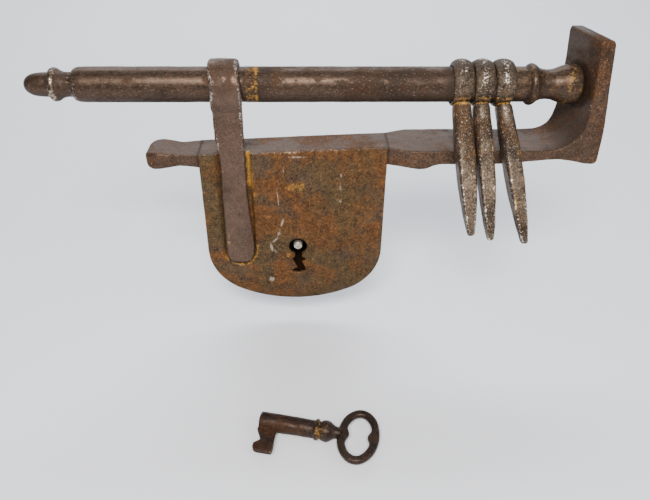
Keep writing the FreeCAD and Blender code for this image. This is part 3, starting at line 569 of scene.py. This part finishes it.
def buildFrame():
    # rings spanned between an inner and an outer edge line, so that one surface runs from the club end
    # through the bar and round the heel to the top of the arm; the front is set back behind the plate
    s = frameShape
    rows = along(s["stations"], [2, 3], s["rings"])
    rows[:, :4] = eased(rows[:, :4], 7)
    inner, outer, depth, corner = rows[:, 0:2], rows[:, 2:4], rows[:, 4], rows[:, 5]
    thickDir = inner - outer
    half = np.hypot(*thickDir.T) / 2
    thickDir = thickDir / (2 * half[:, None])
    middle = (inner + outer) / 2
    x0 = middle[:, 0]
    a, b, c, d = s["trough"]
    inCase = (x0 > s["bounds"][0]) & (x0 < s["bounds"][1])
    notch = smoothStep(a, b, x0) * smoothStep(c, d, x0)
    front = np.where(inCase, s["front"] - (s["front"] - s["floor"]) * notch, depth)
    count = len(middle)
    centre = np.stack([middle[:, 0], (depth - front) / 2, middle[:, 1]], axis=1)
    thick = np.stack([thickDir[:, 0], np.zeros(count), thickDir[:, 1]], axis=1)
    side = np.tile([0.0, 1.0, 0.0], (count, 1))
    x, z, wear = sectionRing((front + depth) / 2, half, corner, 6, 22)
    points = withPoles(sweep(centre, side, thick, x, z))
    px, py, pz = points.T
    rise = smoothStep(-62, -30, pz) * smoothStep(330, 376, px)
    px -= (s["twist"] * py + s["twistShift"]) * rise
    px[:] = np.minimum(px, s["reach"])
    wearAndHighlights = np.append(np.tile(wear, count), [0.4, 0.4])
    behind = smoothStep(36, 38, px) * smoothStep(210, 208, px) * (py < -9)
    wearAndHighlights = wearAndHighlights * (1 - 0.7 * behind) * (0.5 + 0.2 * smoothStep(250, 330, px))
    # a bright patch on the bar's front top edge round x 134: rubbed metal and a painted highlight
    rubbedAndHighlight = hump(px, 134, 15) * hump(py, -15, 7) * (pz > -60)
    wearAndHighlights = np.maximum(wearAndHighlights, 0.95 * rubbedAndHighlight)
    # dark seams where the bar meets the case's sides; painted shade in the heel's inner crease, inside the bore
    # and on the arm's inner face
    seam = hump(px, 36.8, 1.2) + hump(px, 208.6, 1.2)
    nook = smoothStep(345, 372, px) * smoothStep(-15, -48, pz) * (pz > -58)
    bore = np.hypot(py, pz) < 21
    innerFace = smoothStep(352, 366, px) * (px < 379.5) * smoothStep(27, 23, np.abs(py))
    grime_and_shade = seam + nook * 0.35 + 0.7 * (bore & (px > 365)) + 0.4 * innerFace
    ochre = 0.1 * smoothStep(214, 206, px)
    piece = makePiece("frameBar", points, tubeFaces(count, x.shape[1]), wearAndHighlights, grime_and_shade, ochre)
    forge(piece, s["dents"])
    return finishPiece(piece, "lock_frame", "frame_iron", materials["frame"], "frame_bar")


buildFrame()
print("frame bar done")


caseShape = {
    "left": 37.2, "right": 208.0, "topLeft": -59.9, "topRight": -52.9, "underBar": -68.3,
    "corner": 52.0, "belly": 132.0, "bottom": -221.8, "front": -18.0, "sheet": 3.0, "cell": 0.8,
    "troughX": 68.3, "troughHalf": 16.0, "troughEnd": -179.0, "troughDepth": 5.0,
    "slot": (64.8, 71.8, -144.0, -112.0), "holeX": 125.5, "holeZ": -158.0, "holeRadius": 9.0,
    "bit": [(-3.2, -6.0), (-3.3, -12.1), (-6.2, -14.8), (-0.8, -25.7), (-7.1, -28.8), (-5.9, -30.9),
            (0.5, -31.9), (8.5, -29.6), (4.0, -18.3), (6.2, -17.5), (7.8, -14.8), (4.0, -12.9), (4.0, -6.0)],
    "rivets": [(45.2, -124), (198.3, -112), (81.6, -200.3), (166.6, -198.3), (107.6, -115), (107.6, -141),
               (164.9, -115), (164.9, -141), (125.5, -158)],
    "rim": (300, 14.9, 1.5, 0.5),  # rings, half depth, half thickness, corner radius
    "dents": {"front": [(40, 0.3, 21), (12, 0.13, 22), (3.2, 0.05, 23)],
              "back": [(40, 0.16, 31), (12, 0.1, 32), (3.2, 0.05, 33)],
              "rim": [(16, 0.25, 41), (5, 0.1, 42)]},
}


def caseOutline(topLeft, topRight, inset=0.0, steps=40):
    # upright sides, a corner arc and a flatter belly arc that meet on one tangent
    s = caseShape
    middle = (s["left"] + s["right"]) / 2
    half = (s["right"] - s["left"]) / 2 - inset
    corner, belly = s["corner"] - inset, s["belly"] - inset
    bellyZ = s["bottom"] + s["belly"]
    across = half - corner
    cornerZ = bellyZ - math.sqrt((belly - corner) ** 2 - across ** 2)
    join = math.atan2(bellyZ - cornerZ, across)
    a = np.linspace(0, join, steps)
    turn = np.stack([across + corner * np.cos(a), cornerZ - corner * np.sin(a)], axis=1)
    b = np.linspace(join, math.pi / 2, steps)[1:]
    low = np.stack([belly * np.cos(b), bellyZ - belly * np.sin(b)], axis=1)
    sideRight = np.stack([np.full(steps, half), np.linspace(topRight, cornerZ, steps)], axis=1)[:-1]
    sideLeft = np.stack([np.full(steps, half), np.linspace(topLeft, cornerZ, steps)], axis=1)[:-1]
    rightHalf = np.concatenate([sideRight, turn, low])
    leftHalf = np.concatenate([sideLeft, turn, low[:-1]])[::-1] * [-1, 1]
    return np.concatenate([rightHalf, leftHalf]) + [middle, 0]


def distanceTo(polygon, x, z):
    # signed distance to a closed polygon: the nearest edge, negative inside by the crossing count
    nearest = np.full(x.shape, 1e9)
    inside = np.zeros(x.shape, bool)
    for (ax, az), (bx, bz) in zip(polygon, np.roll(polygon, -1, axis=0)):
        ex, ez = bx - ax, bz - az
        t = np.clip(((x - ax) * ex + (z - az) * ez) / max(ex * ex + ez * ez, 1e-9), 0, 1)
        nearest = np.minimum(nearest, np.hypot(x - ax - t * ex, z - az - t * ez))
        crosses = (az > z) != (bz > z)
        inside ^= crosses & (x < ax + (z - az) * ex / (ez if abs(ez) > 1e-12 else 1e-12))
    return np.where(inside, -nearest, nearest)


def stadium(x, z):
    # signed distance to the trough's outline, open at the top
    s = caseShape
    low = np.minimum(z - (s["troughEnd"] + s["troughHalf"]), 0)
    return np.hypot(np.abs(x - s["troughX"]), low) - s["troughHalf"]


def sheetPiece(distance, depth, low, high, cell, thickness, plane):
    # a flat grid whose border points slide on to the outline, kept where the outline says metal and set
    # back by depth(x, z, distance); a second layer lies one thickness behind and walls join the two
    nx = int((high[0] - low[0]) / cell) + 1
    nz = int((high[1] - low[1]) / cell) + 1
    x, z = np.meshgrid(np.linspace(low[0], high[0], nx), np.linspace(low[1], high[1], nz), indexing="ij")
    d = distance(x, z)
    e = 0.05
    gx = (distance(x + e, z) - distance(x - e, z)) / (2 * e)
    gz = (distance(x, z + e) - distance(x, z - e)) / (2 * e)
    norm = np.maximum(np.hypot(gx, gz), 0.5)
    near = np.abs(d) < cell * 0.72
    x = np.where(near, x - d * gx / norm ** 2, x)
    z = np.where(near, z - d * gz / norm ** 2, z)
    solid = (d < 0) | near
    i, j = np.meshgrid(np.arange(nx - 1), np.arange(nz - 1), indexing="ij")
    keep = solid[:-1, :-1] & solid[1:, :-1] & solid[1:, 1:] & solid[:-1, 1:]
    keep &= (d[:-1, :-1] + d[1:, :-1] + d[1:, 1:] + d[:-1, 1:]) < 0
    a = i * nz + j
    quads = np.stack([a, a + nz, a + nz + 1, a + 1], axis=-1)[keep]
    used = np.unique(quads)
    order = np.full(nx * nz, -1)
    order[used] = np.arange(len(used))
    quads = order[quads]
    dist = np.where(near, 0, d).ravel()[used]
    x, z = x.ravel()[used], z.ravel()[used]
    set1 = depth(x, z, dist)
    points = np.concatenate([plane(x, z, set1), plane(x, z, set1 + thickness)])
    edges = np.stack([quads, np.roll(quads, -1, axis=1)], axis=-1).reshape(-1, 2)
    keys = np.sort(edges, axis=1) @ [len(used), 1]
    single, counts = np.unique(keys, return_counts=True)
    border = edges[np.isin(keys, single[counts == 1])]
    walls = np.stack([border[:, 1], border[:, 0], border[:, 0] + len(used), border[:, 1] + len(used)], axis=1)
    faces = np.concatenate([quads, quads[:, ::-1] + len(used), walls])
    return points, faces.tolist(), np.concatenate([dist, dist])


def buildCaseFront():
    # the D plate: flat, its edge turned back a little, sunk by an S-curve inside the trough, whose left
    # wall is a long slope and whose right wall is short and steep
    s = caseShape
    outline = caseOutline(s["topLeft"], s["topRight"])
    bit = np.array(s["bit"]) + [s["holeX"], s["holeZ"]]
    x0, x1, z0, z1 = s["slot"]

    def distance(x, z):
        plate = distanceTo(outline, x, z)
        hole = np.minimum(np.hypot(x - s["holeX"], z - s["holeZ"]) - s["holeRadius"], distanceTo(bit, x, z))
        gap = np.maximum(np.maximum(x0 - x, x - x1), np.maximum(z0 - z, z - z1))
        return np.maximum(plate, np.maximum(-hole, -gap))

    def depth(x, z, d):
        trough = stadium(x, z)
        leftShare = smoothStep(s["troughX"] - 4, s["troughX"] - 12, x)
        start = 0.9 + 1.3 * leftShare
        end = -2.0 - 3.4 * leftShare
        t = np.clip((start - trough) / (start - end), 0, 1)
        return s["troughDepth"] * t * t * (3 - 2 * t) + np.clip(1 + d / 1.1, 0, 1) ** 2 * 0.45

    low, high = (s["left"] - 0.8, s["bottom"] - 0.8), (s["right"] + 0.8, s["topRight"] + 0.8)
    points, faces, dist = sheetPiece(distance, depth, low, high, s["cell"], s["sheet"],
                                     lambda x, z, y: np.stack([x, s["front"] + y, z], axis=1))
    x, z = points[:, 0], points[:, 2]
    trough = stadium(x, z)
    right = smoothStep(76, 82, x)
    topLine = s["topLeft"] + (x - s["left"]) * (s["topRight"] - s["topLeft"]) / (s["right"] - s["left"])
    wear = np.clip(1 + dist / 1.2, 0, 1) * 0.7 + 0.5 * hump(z, topLine, 1.2)
    wear += 0.3 * hump(trough, 0.7, 0.7) * right
    wear += 0.7 * hump(x, 128, 14) * hump(z, topLine - 1, 2.5)
    # painted shade in the upper left of the trough; darker round the keyhole and towards the bottom
    grime_and_shade = 0.35 * smoothStep(-1, -4, trough) * smoothStep(-95, -70, z) * (1 - right)
    keyhole = np.hypot(x - s["holeX"], z - s["holeZ"])
    grime_and_shade += 0.5 * hump(keyhole, 9, 1.2) + 0.35 * smoothStep(-195, -222, z)
    # painted shade inside the case: the plate's inner face is made fully dark
    inside = np.arange(len(points)) >= len(points) // 2
    grime_and_shade = np.maximum(grime_and_shade, inside * (dist < -0.5))
    ochre = right * smoothStep(1.0, -1.5, trough) * smoothStep(-110, -85, z)
    ochre = 0.75 * ochre + 0.42 * hump(trough, 0.3, 1.8) * smoothStep(-158, -172, z)
    ochre += 0.25 * hump(trough, 0.5, 2) * right
    piece = makePiece("caseFront", points, faces, wear, grime_and_shade, ochre)
    forge(piece, s["dents"]["front"])
    return finishPiece(piece, "lock_frame", "case_iron", materials["case"], "case_front")


def buildCaseBack():
    # the plain D plate at the back, its rivet ends just proud of it
    s = caseShape
    outline = caseOutline(s["underBar"] + 0.2, s["underBar"] + 0.2)

    def depth(x, z, d):
        heads = sum(np.exp(-(((x - rx) ** 2 + (z - rz) ** 2) / 12) ** 2) for rx, rz in s["rivets"])
        return np.clip(1 + d / 1.1, 0, 1) ** 2 * 0.5 - heads * 0.3 + 0.3

    low, high = (s["left"] - 0.8, s["bottom"] - 0.8), (s["right"] + 0.8, s["underBar"] + 1.2)
    points, faces, dist = sheetPiece(lambda x, z: distanceTo(outline, x, z), depth, low, high, 1.1,
                                     s["sheet"] - 0.3,
                                     lambda x, z, y: np.stack([x, -s["front"] - y, z], axis=1))
    inside = np.arange(len(points)) >= len(points) // 2
    # painted shade inside the case: the plate's inner face is made fully dark
    piece = makePiece("caseBack", points, faces, np.clip(1 + dist / 1.2, 0, 1) * 0.7, inside * 1.0)
    forge(piece, s["dents"]["back"])
    return finishPiece(piece, "lock_frame", "case_iron", materials["back"], "case_back")


def buildCaseRim():
    # a flat strip carried along the case's outline
    s = caseShape
    count, halfDepth, halfThick, corner = s["rim"]
    line = caseOutline(s["underBar"], s["underBar"], 1.9)
    rows = along(line, [0, 1], count)
    tangent = pathFrames(rows)
    centre = np.stack([rows[:, 0], np.zeros(count), rows[:, 1]], axis=1)
    thick = np.stack([-tangent[:, 1], np.zeros(count), tangent[:, 0]], axis=1)
    side = np.tile([0.0, 1.0, 0.0], (count, 1))
    x, z, wear = sectionRing(np.full(count, halfDepth), np.full(count, halfThick), np.full(count, corner), 3, 26)
    piece = makePiece("caseRim", withPoles(sweep(centre, side, thick, x, z)), tubeFaces(count, x.shape[1]),
                      np.append(np.tile(wear * 0.3, count), [0, 0]))
    forge(piece, s["dents"]["rim"])
    return finishPiece(piece, "lock_frame", "case_iron", materials["back"], "case_rim")


buildCaseFront()
buildCaseBack()
buildCaseRim()
print("case done")


haspShape = {
    # inner face y and z, left and right edge x, thickness at the edge, crown
    "blade": [(-15.2, -177.0, 64.5, 72.5, 2.0, 0.2), (-14.9, -175.8, 61.0, 76.5, 4.2, 0.8),
              (-14.9, -172.5, 57.6, 80.0, 4.6, 1.5), (-14.9, -165.0, 55.7, 82.0, 4.6, 1.7),
              (-14.9, -153.0, 55.3, 82.6, 4.6, 1.8), (-14.9, -125.0, 55.7, 80.6, 4.6, 1.8),
              (-14.9, -103.0, 55.7, 79.1, 4.6, 1.8), (-14.9, -82.0, 56.6, 79.2, 4.6, 1.6),
              (-14.9, -67.0, 56.9, 79.4, 5.0, 1.2), (-14.8, -59.0, 56.3, 79.4, 5.3, 0.9),
              (-14.5, -52.0, 55.0, 79.4, 5.4, 0.7), (-14.0, -42.0, 53.9, 79.6, 5.5, 0.6),
              (-12.6, -31.0, 53.5, 79.7, 5.5, 0.6), (-11.9, -23.0, 53.4, 79.6, 5.5, 0.6),
              (-11.8, -18.6, 53.3, 79.3, 5.5, 0.6), (-13.0, -14.0, 52.3, 79.6, 6.0, 0.5),
              (-15.0, -8.4, 52.8, 80.1, 6.0, 0.4), (-15.7, -2.0, 53.2, 80.0, 6.0, 0.4)],
    "bore": 15.7, "loopEnd": 322.0, "rings": 340,
    "dents": [(17, 0.22, 51), (6, 0.1, 52), (2, 0.03, 53)],
}


def buildHasp():
    # one flat section carried up the blade and on round the rod: over the top, down the back and
    # under, where its thinned end closes on the blade
    s = haspShape
    angles = np.radians(np.arange(96, s["loopEnd"] + 1, 7))
    over = smoothStep(math.radians(100), math.radians(165), angles)
    fade = smoothStep(math.radians(270), math.radians(322), angles)
    loop = np.stack([-s["bore"] * np.sin(angles), -s["bore"] * np.cos(angles), 53.3 - 2.0 * over + 2.6 * fade,
                     79.9 - 3.0 * over + 0.6 * fade, 5.9 - 3.4 * fade, np.full(len(angles), 0.4)], axis=1)
    rows = eased(along(np.concatenate([np.array(s["blade"]), loop]), [0, 1], s["rings"]), 5)
    path, left, right, edge, crown = rows[:, :2], rows[:, 2], rows[:, 3], rows[:, 4], rows[:, 5]
    tangent = pathFrames(path)
    outward = np.stack([-tangent[:, 1], tangent[:, 0]], axis=1)
    middle = path + outward * (edge / 2)[:, None]
    count = len(rows)
    centre = np.stack([(left + right) / 2, middle[:, 0], middle[:, 1]], axis=1)
    thick = np.stack([np.zeros(count), outward[:, 0], outward[:, 1]], axis=1)
    side = np.tile([1.0, 0.0, 0.0], (count, 1))
    x, z, wear = sectionRing((right - left) / 2, edge / 2, edge * 0.42, 6, 20, crown[:, None])
    points = withPoles(sweep(centre, side, thick, x, z))
    px, py, pz = points.T
    wearAndHighlights = np.append(np.tile(wear, count), [0.3, 0.3]) * (0.55 + 0.45 * smoothStep(-70, -45, pz))
    # bright on the strap's left edge near the top and round z -46: rubbed metal and painted highlights
    wearAndHighlights = np.maximum(wearAndHighlights, 0.75 * hump(pz, 4, 9) * hump(px, 56, 4) * (py < 0))
    wearAndHighlights = np.maximum(wearAndHighlights, 0.8 * hump(pz, -46, 9) * hump(px, 56, 3))
    # painted shade under the front of the eye, where the strap turns in
    grime_and_shade = 0.35 * hump(pz, -16, 4) * (py < 0)
    piece = makePiece("haspStrap", points, tubeFaces(count, x.shape[1]), wearAndHighlights, grime_and_shade)
    forge(piece, s["dents"])
    return finishPiece(piece, "hasp", "hasp_iron", materials["hasp"], "hasp_strap")


buildHasp()
print("hasp done")


spikeShape = {
    "x": [269.7, 287.8, 305.9], "lengths": [133.0, 137.0, 140.0], "skews": [3.7, 3.5, 8.2], "lean": 34.79,
    "offsets": [0.6, -0.3, 0.9], "widths": [1.1, 1.0, 1.0],
    # share of the length from the axis, half width, half thickness, corner share
    "shank": [(1.0, 1.6, 1.6, 0.7), (0.996, 2.3, 2.4, 0.6), (0.985, 2.8, 3.0, 0.45), (0.9, 4.3, 4.8, 0.3),
              (0.75, 5.9, 6.6, 0.28), (0.6, 7.1, 7.8, 0.34), (0.48, 7.5, 8.2, 0.45), (0.35, 7.6, 8.3, 0.6),
              (0.25, 7.5, 8.5, 0.75), (0.18, 7.3, 8.9, 0.85), (0.15, 7.1, 9.2, 0.88), (0.13, 6.3, 8.6, 0.9),
              (0.12, 4.0, 5.4, 0.95)],
    "bore": 15.65, "rings": 230, "eyeRings": 140,
    "eyeWall": (2.6, 3.4), "eyeHalf": (7.3, 1.35),  # at the thinnest, and what the bulge adds
    "dents": [(13, 0.22, 61), (4.5, 0.13, 71), (1.8, 0.07, 81)],
}


def leanForward(points, index):
    # turns about the rod by the lean and moves out to the spike's own place on the rod
    a = math.radians(spikeShape["lean"])
    x, y, z = points.T
    return np.stack([x + spikeShape["x"][index], y * math.cos(a) + z * math.sin(a),
                     -y * math.sin(a) + z * math.cos(a)], axis=1)


def buildSpike(index):
    # a four-sided tapering shank, and a bulging ring round the rod that thins at the front where it
    # meets the shank's top; both lean forward together
    s = spikeShape
    length = s["lengths"][index]
    table = [(0.0, -length * share, w, t, c) for share, w, t, c in s["shank"]]
    rows = along(table, [0, 1], s["rings"])
    rows[:, 2:] = eased(rows[:, 2:], 3)
    count = len(rows)
    reach = -rows[:, 1]
    sideways = s["offsets"][index] + np.maximum(reach - 14, 0) * math.tan(math.radians(s["skews"][index]))
    centre = np.stack([sideways, np.zeros(count), rows[:, 1]], axis=1)
    side = np.tile([1.0, 0.0, 0.0], (count, 1))
    thick = np.tile([0.0, -1.0, 0.0], (count, 1))
    x, z, wear = sectionRing(rows[:, 2] * s["widths"][index], rows[:, 3], rows[:, 3] * rows[:, 4], 7, 8)
    shank = withPoles(sweep(centre, side, thick, x, z))
    shankFaces = tubeFaces(count, x.shape[1])
    down = -shank[:, 2]
    shankWear = np.append(np.tile(wear, count), [0.6, 0]) * (0.45 + 0.55 * smoothStep(60, length, down))
    ochre = hump(down, 18.2, 1.5) * (1.0 if index == 2 else 0.75)
    across = shank[:, 0] - np.interp(down, reach[::-1], sideways[::-1])
    ochre += 0.35 * hump(across, 6, 3) * smoothStep(30, 60, down)

    turn = np.linspace(-math.pi, math.pi, s["eyeRings"], endpoint=False)
    away = np.degrees(np.abs(turn))
    frontThin = np.where(turn < 0, smoothStep(28, 85, away), 0.55 + 0.45 * smoothStep(20, 60, away))
    wall = s["eyeWall"][0] + s["eyeWall"][1] * frontThin
    halfWide = s["eyeHalf"][0] + s["eyeHalf"][1] * smoothStep(20, 80, away)
    base = wall * 0.5
    mid = s["bore"] + base / 2
    outward = np.stack([np.zeros(len(turn)), np.sin(turn), -np.cos(turn)], axis=1)
    eyeCentre = outward * mid[:, None]
    x, z, wear = sectionRing(halfWide, base / 2, base * 0.45, 6, 12, (wall - base)[:, None])
    eye = sweep(eyeCentre, np.tile([1.0, 0.0, 0.0], (len(turn), 1)), outward, x, z).reshape(-1, 3)
    reachEye = np.hypot(eye[:, 1], eye[:, 2])
    # painted highlight on the eye's outer front, a little left of the middle, as rubbed bright metal
    eyeWearAndHighlight = 0.8 * smoothStep(19.3, 21.6, reachEye) * (eye[:, 2] > -12) * hump(eye[:, 0], -1, 6)
    creaseLine = hump(np.degrees(np.repeat(turn, x.shape[1])), -33, 7) * smoothStep(15, 17, reachEye)

    points = leanForward(np.concatenate([shank, eye]), index)
    faces = shankFaces + [[a + len(shank) for a in face] for face in loopFaces(len(turn), x.shape[1])]
    # painted shade on the eye's flat sides, where neighbouring eyes meet
    piece = makePiece("spike" + str(index + 1), points, faces, np.concatenate([shankWear, eyeWearAndHighlight]),
                      np.concatenate([np.zeros(len(shank)), 0.4 * hump(np.abs(eye[:, 0]), 8.6, 1.2)]),
                      np.concatenate([ochre, 0.6 * creaseLine]))
    forge(piece, [(size, height, seed + index) for size, height, seed in s["dents"]])
    name = "spike_" + str(index + 1)
    return finishPiece(piece, name, "spike_iron", materials["spike"], name)


for index in range(3):
    buildSpike(index)
print("spikes done")


pinShape = {"x": 125.5, "z": -158.0, "profile": [(-17.4, 0), (-17.3, 2.6), (-16.9, 3.9), (-15.6, 4.5),
                                                  (14.0, 4.5), (17.2, 4.5), (17.5, 4.2), (17.6, 0)]}


def buildPin():
    # a short profile turned about the pin's axis, which runs front to back
    points, faces, wear = turned(pinShape["profile"], 40, 0.5)
    points = np.stack([pinShape["x"] + points[:, 1], points[:, 0], pinShape["z"] + points[:, 2]], axis=1)
    piece = makePiece("drillPin", points, faces, np.clip(wear + (points[:, 1] < -15.5), 0, 1) * 0.7)
    return finishPiece(piece, "lock_frame", "pin_iron", materials["pin"], "drill_pin")


buildPin()
print("pin done")


keyShape = {
    "tip": (92.0, -155.4, -251.9), "yaw": -12.4, "shankLength": 69.5,
    "profile": [(30, 0), (29.5, 4.2), (28, 4.7), (1.6, 4.8), (0.4, 5.4), (0, 6.4), (0.3, 7.6), (1.2, 8.2),
                (40, 7.9), (48.6, 7.7), (49.4, 8.0), (50.2, 9.0), (51.4, 9.4), (52.6, 9.0), (53.4, 7.6),
                (54.6, 7.3), (55.6, 8.4), (58, 9.1), (60.5, 9.2), (63, 8.4), (65.2, 6.6), (67, 5.6),
                (70, 5.0), (73, 4.2), (74, 0)],
    "bowLength": 37.0, "bowWidth": 57.0, "band": 7.0, "bowThick": 6.2,
    "bit": [(0.4, 6), (0.4, 10.6), (4, 16.6), (5.4, 21), (0.8, 25), (0.9, 29), (2.6, 31.4), (5, 32),
            (17, 32), (18.2, 30.6), (18.4, 27.6), (17.4, 18.7), (17, 13), (17, 6)],
    "bitThick": 4.4, "bowRings": 220, "bowCorner": 2.7, "swell": (1.7, 0.24),  # its height and its spread
    "dents": {"shank": [(6, 0.12, 91), (2.2, 0.05, 92)], "bow": [(7, 0.18, 95), (2.5, 0.05, 96)],
              "bit": [(5, 0.15, 97), (2, 0.06, 98)]},
}


def keyToGround(points):
    # from the key's own frame, with its tip at the origin and +X to the bow, to where it lies
    a = math.radians(keyShape["yaw"])
    x, y, z = points.T
    tip = keyShape["tip"]
    return np.stack([tip[0] + x * math.cos(a) - y * math.sin(a), tip[1] + x * math.sin(a) + y * math.cos(a),
                     tip[2] + z], axis=1)


def buildKeyShank():
    # the profile, from the bottom of the bore round the rim to the bow, turned about the stem's axis
    points, faces, wear = turned(keyShape["profile"], 72, 0.4)
    x = points[:, 0]
    ochre = 0.4 * hump(x, 53.5, 3) + 0.2 * hump(x, 60, 4)
    piece = makePiece("keyShank", keyToGround(points), faces, wear * 0.7, 0.5 * hump(x, 66, 3), ochre)
    forge(piece, keyShape["dents"]["shank"])
    return finishPiece(piece, "key", "key_iron", materials["key"], "key_shank")


def buildKeyBow():
    # an oval ring whose inner side swells towards the middle at both long flanks
    s = keyShape
    count = s["bowRings"]
    a = np.linspace(0, 2 * math.pi, count, endpoint=False)
    halfBand = s["band"] / 2
    long, wide = s["bowLength"] / 2 - halfBand, s["bowWidth"] / 2 - halfBand
    swell = s["swell"][0] * np.exp(-(np.abs(np.sin(a)) / s["swell"][1]) ** 2)
    path = np.stack([long * np.cos(a), wide * np.sin(a)], axis=1)
    tangent = np.stack([-long * np.sin(a), wide * np.cos(a)], axis=1)
    tangent /= np.hypot(*tangent.T)[:, None]
    outward = np.stack([tangent[:, 1], -tangent[:, 0]], axis=1)
    path = path - outward * swell[:, None]
    centre = np.stack([s["shankLength"] + s["bowLength"] / 2 + path[:, 0], path[:, 1],
                       np.zeros(count)], axis=1)
    side = np.stack([outward[:, 0], outward[:, 1], np.zeros(count)], axis=1)
    up = np.tile([0.0, 0.0, 1.0], (count, 1))
    x, z, wear = sectionRing(halfBand + swell, np.full(count, s["bowThick"] / 2),
                             np.full(count, s["bowCorner"]), 7, 5)
    piece = makePiece("keyBow", keyToGround(sweep(centre, side, up, x, z).reshape(-1, 3)),
                      loopFaces(count, x.shape[1]), np.tile(wear * 0.45, count))
    forge(piece, s["dents"]["bow"])
    return finishPiece(piece, "key", "key_iron", materials["key"], "key_bow")


def buildKeyBit():
    # the bit's outline as a small plate, its upper edge rounded
    s = keyShape
    outline = np.array(s["bit"], float) * [1, -1]
    points, faces, dist = sheetPiece(lambda x, z: distanceTo(outline, x, z),
                                     lambda x, z, d: np.clip(1 + d / 1.1, 0, 1) ** 2 * 0.6,
                                     (-0.5, -33), (19.5, -5), 0.4, s["bitThick"] - 0.6,
                                     lambda x, z, y: np.stack([x, z, s["bitThick"] / 2 - y], axis=1))
    piece = makePiece("keyBit", keyToGround(points), faces, np.clip(1 + dist, 0, 1) * 0.8)
    forge(piece, s["dents"]["bit"])
    return finishPiece(piece, "key", "key_iron", materials["key"], "key_bit")


buildKeyShank()
buildKeyBow()
buildKeyBit()
print("key done")


# the plain inner pieces keep their CAD shape; those inside the case take the darker inner iron, painted shade
innerLooks = {
    "case_pillars": "back", "bar_rivets": "back", "ward_ring": "inner", "bolt_guides": "inner",
    "guide_rivets": "back", "bolt_spring": "inner", "spring_stud": "inner", "lock_bolt": "inner",
    "hasp_staple": "inner",
}
for node, look in innerLooks.items():
    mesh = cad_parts[node].data
    mesh.materials.clear()
    mesh.materials.append(materials[look])
print("inner pieces finished")


stageValues = {"floor": -0.2613, "size": 6.0, "bend": 0.9, "back": 1.1, "top": 3.0,
               "colour": (0.9, 0.92, 0.97)}
lightValues = {
    "world": ((0.93, 0.96, 1.0), 0.32), "middle": (0.14, 0.0, -0.1),
    # place, target (none for the middle), size, power in watts, colour
    "lamps": {"keySoftbox": ((0.05, -1.05, 0.92), None, (0.6, 0.35), 31, (1.0, 0.97, 0.93)),
              "fillSoftbox": ((1.1, -0.7, 0.7), None, (0.7, 0.7), 4, (0.95, 0.97, 1.0)),
              "backSoftbox": ((0.14, 1.25, 1.5), (0.14, 1.25, 0.0), (2.4, 0.5), 38, (0.95, 0.98, 1.0))},
}
cameraValues = {"sensor": 36, "lens": 34.6, "place": (0.1363, -0.5306, 0.1873),
                "turn": (55.709, -0.479, -1.453)}  # degrees


def buildStage():
    # a flat floor that bends up into a back wall along a quarter circle
    s = stageValues
    a = np.linspace(0, math.pi / 2, 24)
    y = np.concatenate([[-s["size"] / 2], s["back"] + s["bend"] * np.sin(a), [s["back"] + s["bend"]]])
    z = np.concatenate([[0], s["bend"] * (1 - np.cos(a)), [s["top"]]]) + s["floor"]
    rows = len(y)
    edges = [np.stack([np.full(rows, side * s["size"] / 2), y, z], axis=1) for side in (-1, 1)]
    points = np.concatenate(edges)
    faces = [(i, i + rows, i + rows + 1, i + 1) for i in range(rows - 1)]
    mesh = bpy.data.meshes.new("studioFloor")
    mesh.from_pydata(points.tolist(), [], faces)
    mesh.shade_smooth()
    floor = bpy.data.objects.new("studioFloor", mesh)
    bpy.context.scene.collection.objects.link(floor)
    material = bpy.data.materials.new("paleFloor")
    material.use_nodes = True
    shader = material.node_tree.nodes["Principled BSDF"]
    shader.inputs["Base Color"].default_value = (*s["colour"], 1)
    shader.inputs["Roughness"].default_value = 0.6
    mesh.materials.append(material)


def addLight(name, place, target, size, power, colour):
    # a soft rectangle at its place, turned to face the target
    data = bpy.data.lights.new(name, "AREA")
    data.shape = "RECTANGLE"
    data.size, data.size_y = size
    data.energy = power
    data.color = colour
    lamp = bpy.data.objects.new(name, data)
    lamp.location = place
    away = np.array(place) - np.array(target)
    tilt = math.atan2(math.hypot(away[0], away[1]), away[2])
    lamp.rotation_euler = (tilt, 0, math.atan2(away[0], -away[1]))
    bpy.context.scene.collection.objects.link(lamp)


def buildLights():
    # an even pale world and three soft rectangles
    s = lightValues
    colour, strength = s["world"]
    world = bpy.data.worlds.new("studio")
    bpy.context.scene.world = world
    world.use_nodes = True
    background = world.node_tree.nodes["Background"]
    background.inputs["Color"].default_value = (*colour, 1)
    background.inputs["Strength"].default_value = strength
    for name, (place, target, size, power, tint) in s["lamps"].items():
        addLight(name, place, target or s["middle"], size, power, tint)


def buildCamera():
    # stands in front and above, looking down at the lock
    s = cameraValues
    data = bpy.data.cameras.new("camera")
    data.sensor_width = s["sensor"]
    data.lens = s["lens"]
    camera = bpy.data.objects.new("camera", data)
    camera.location = s["place"]
    camera.rotation_euler = [math.radians(angle) for angle in s["turn"]]
    bpy.context.scene.collection.objects.link(camera)
    bpy.context.scene.camera = camera


buildStage()
buildLights()
buildCamera()
print("stage, lights and camera done")
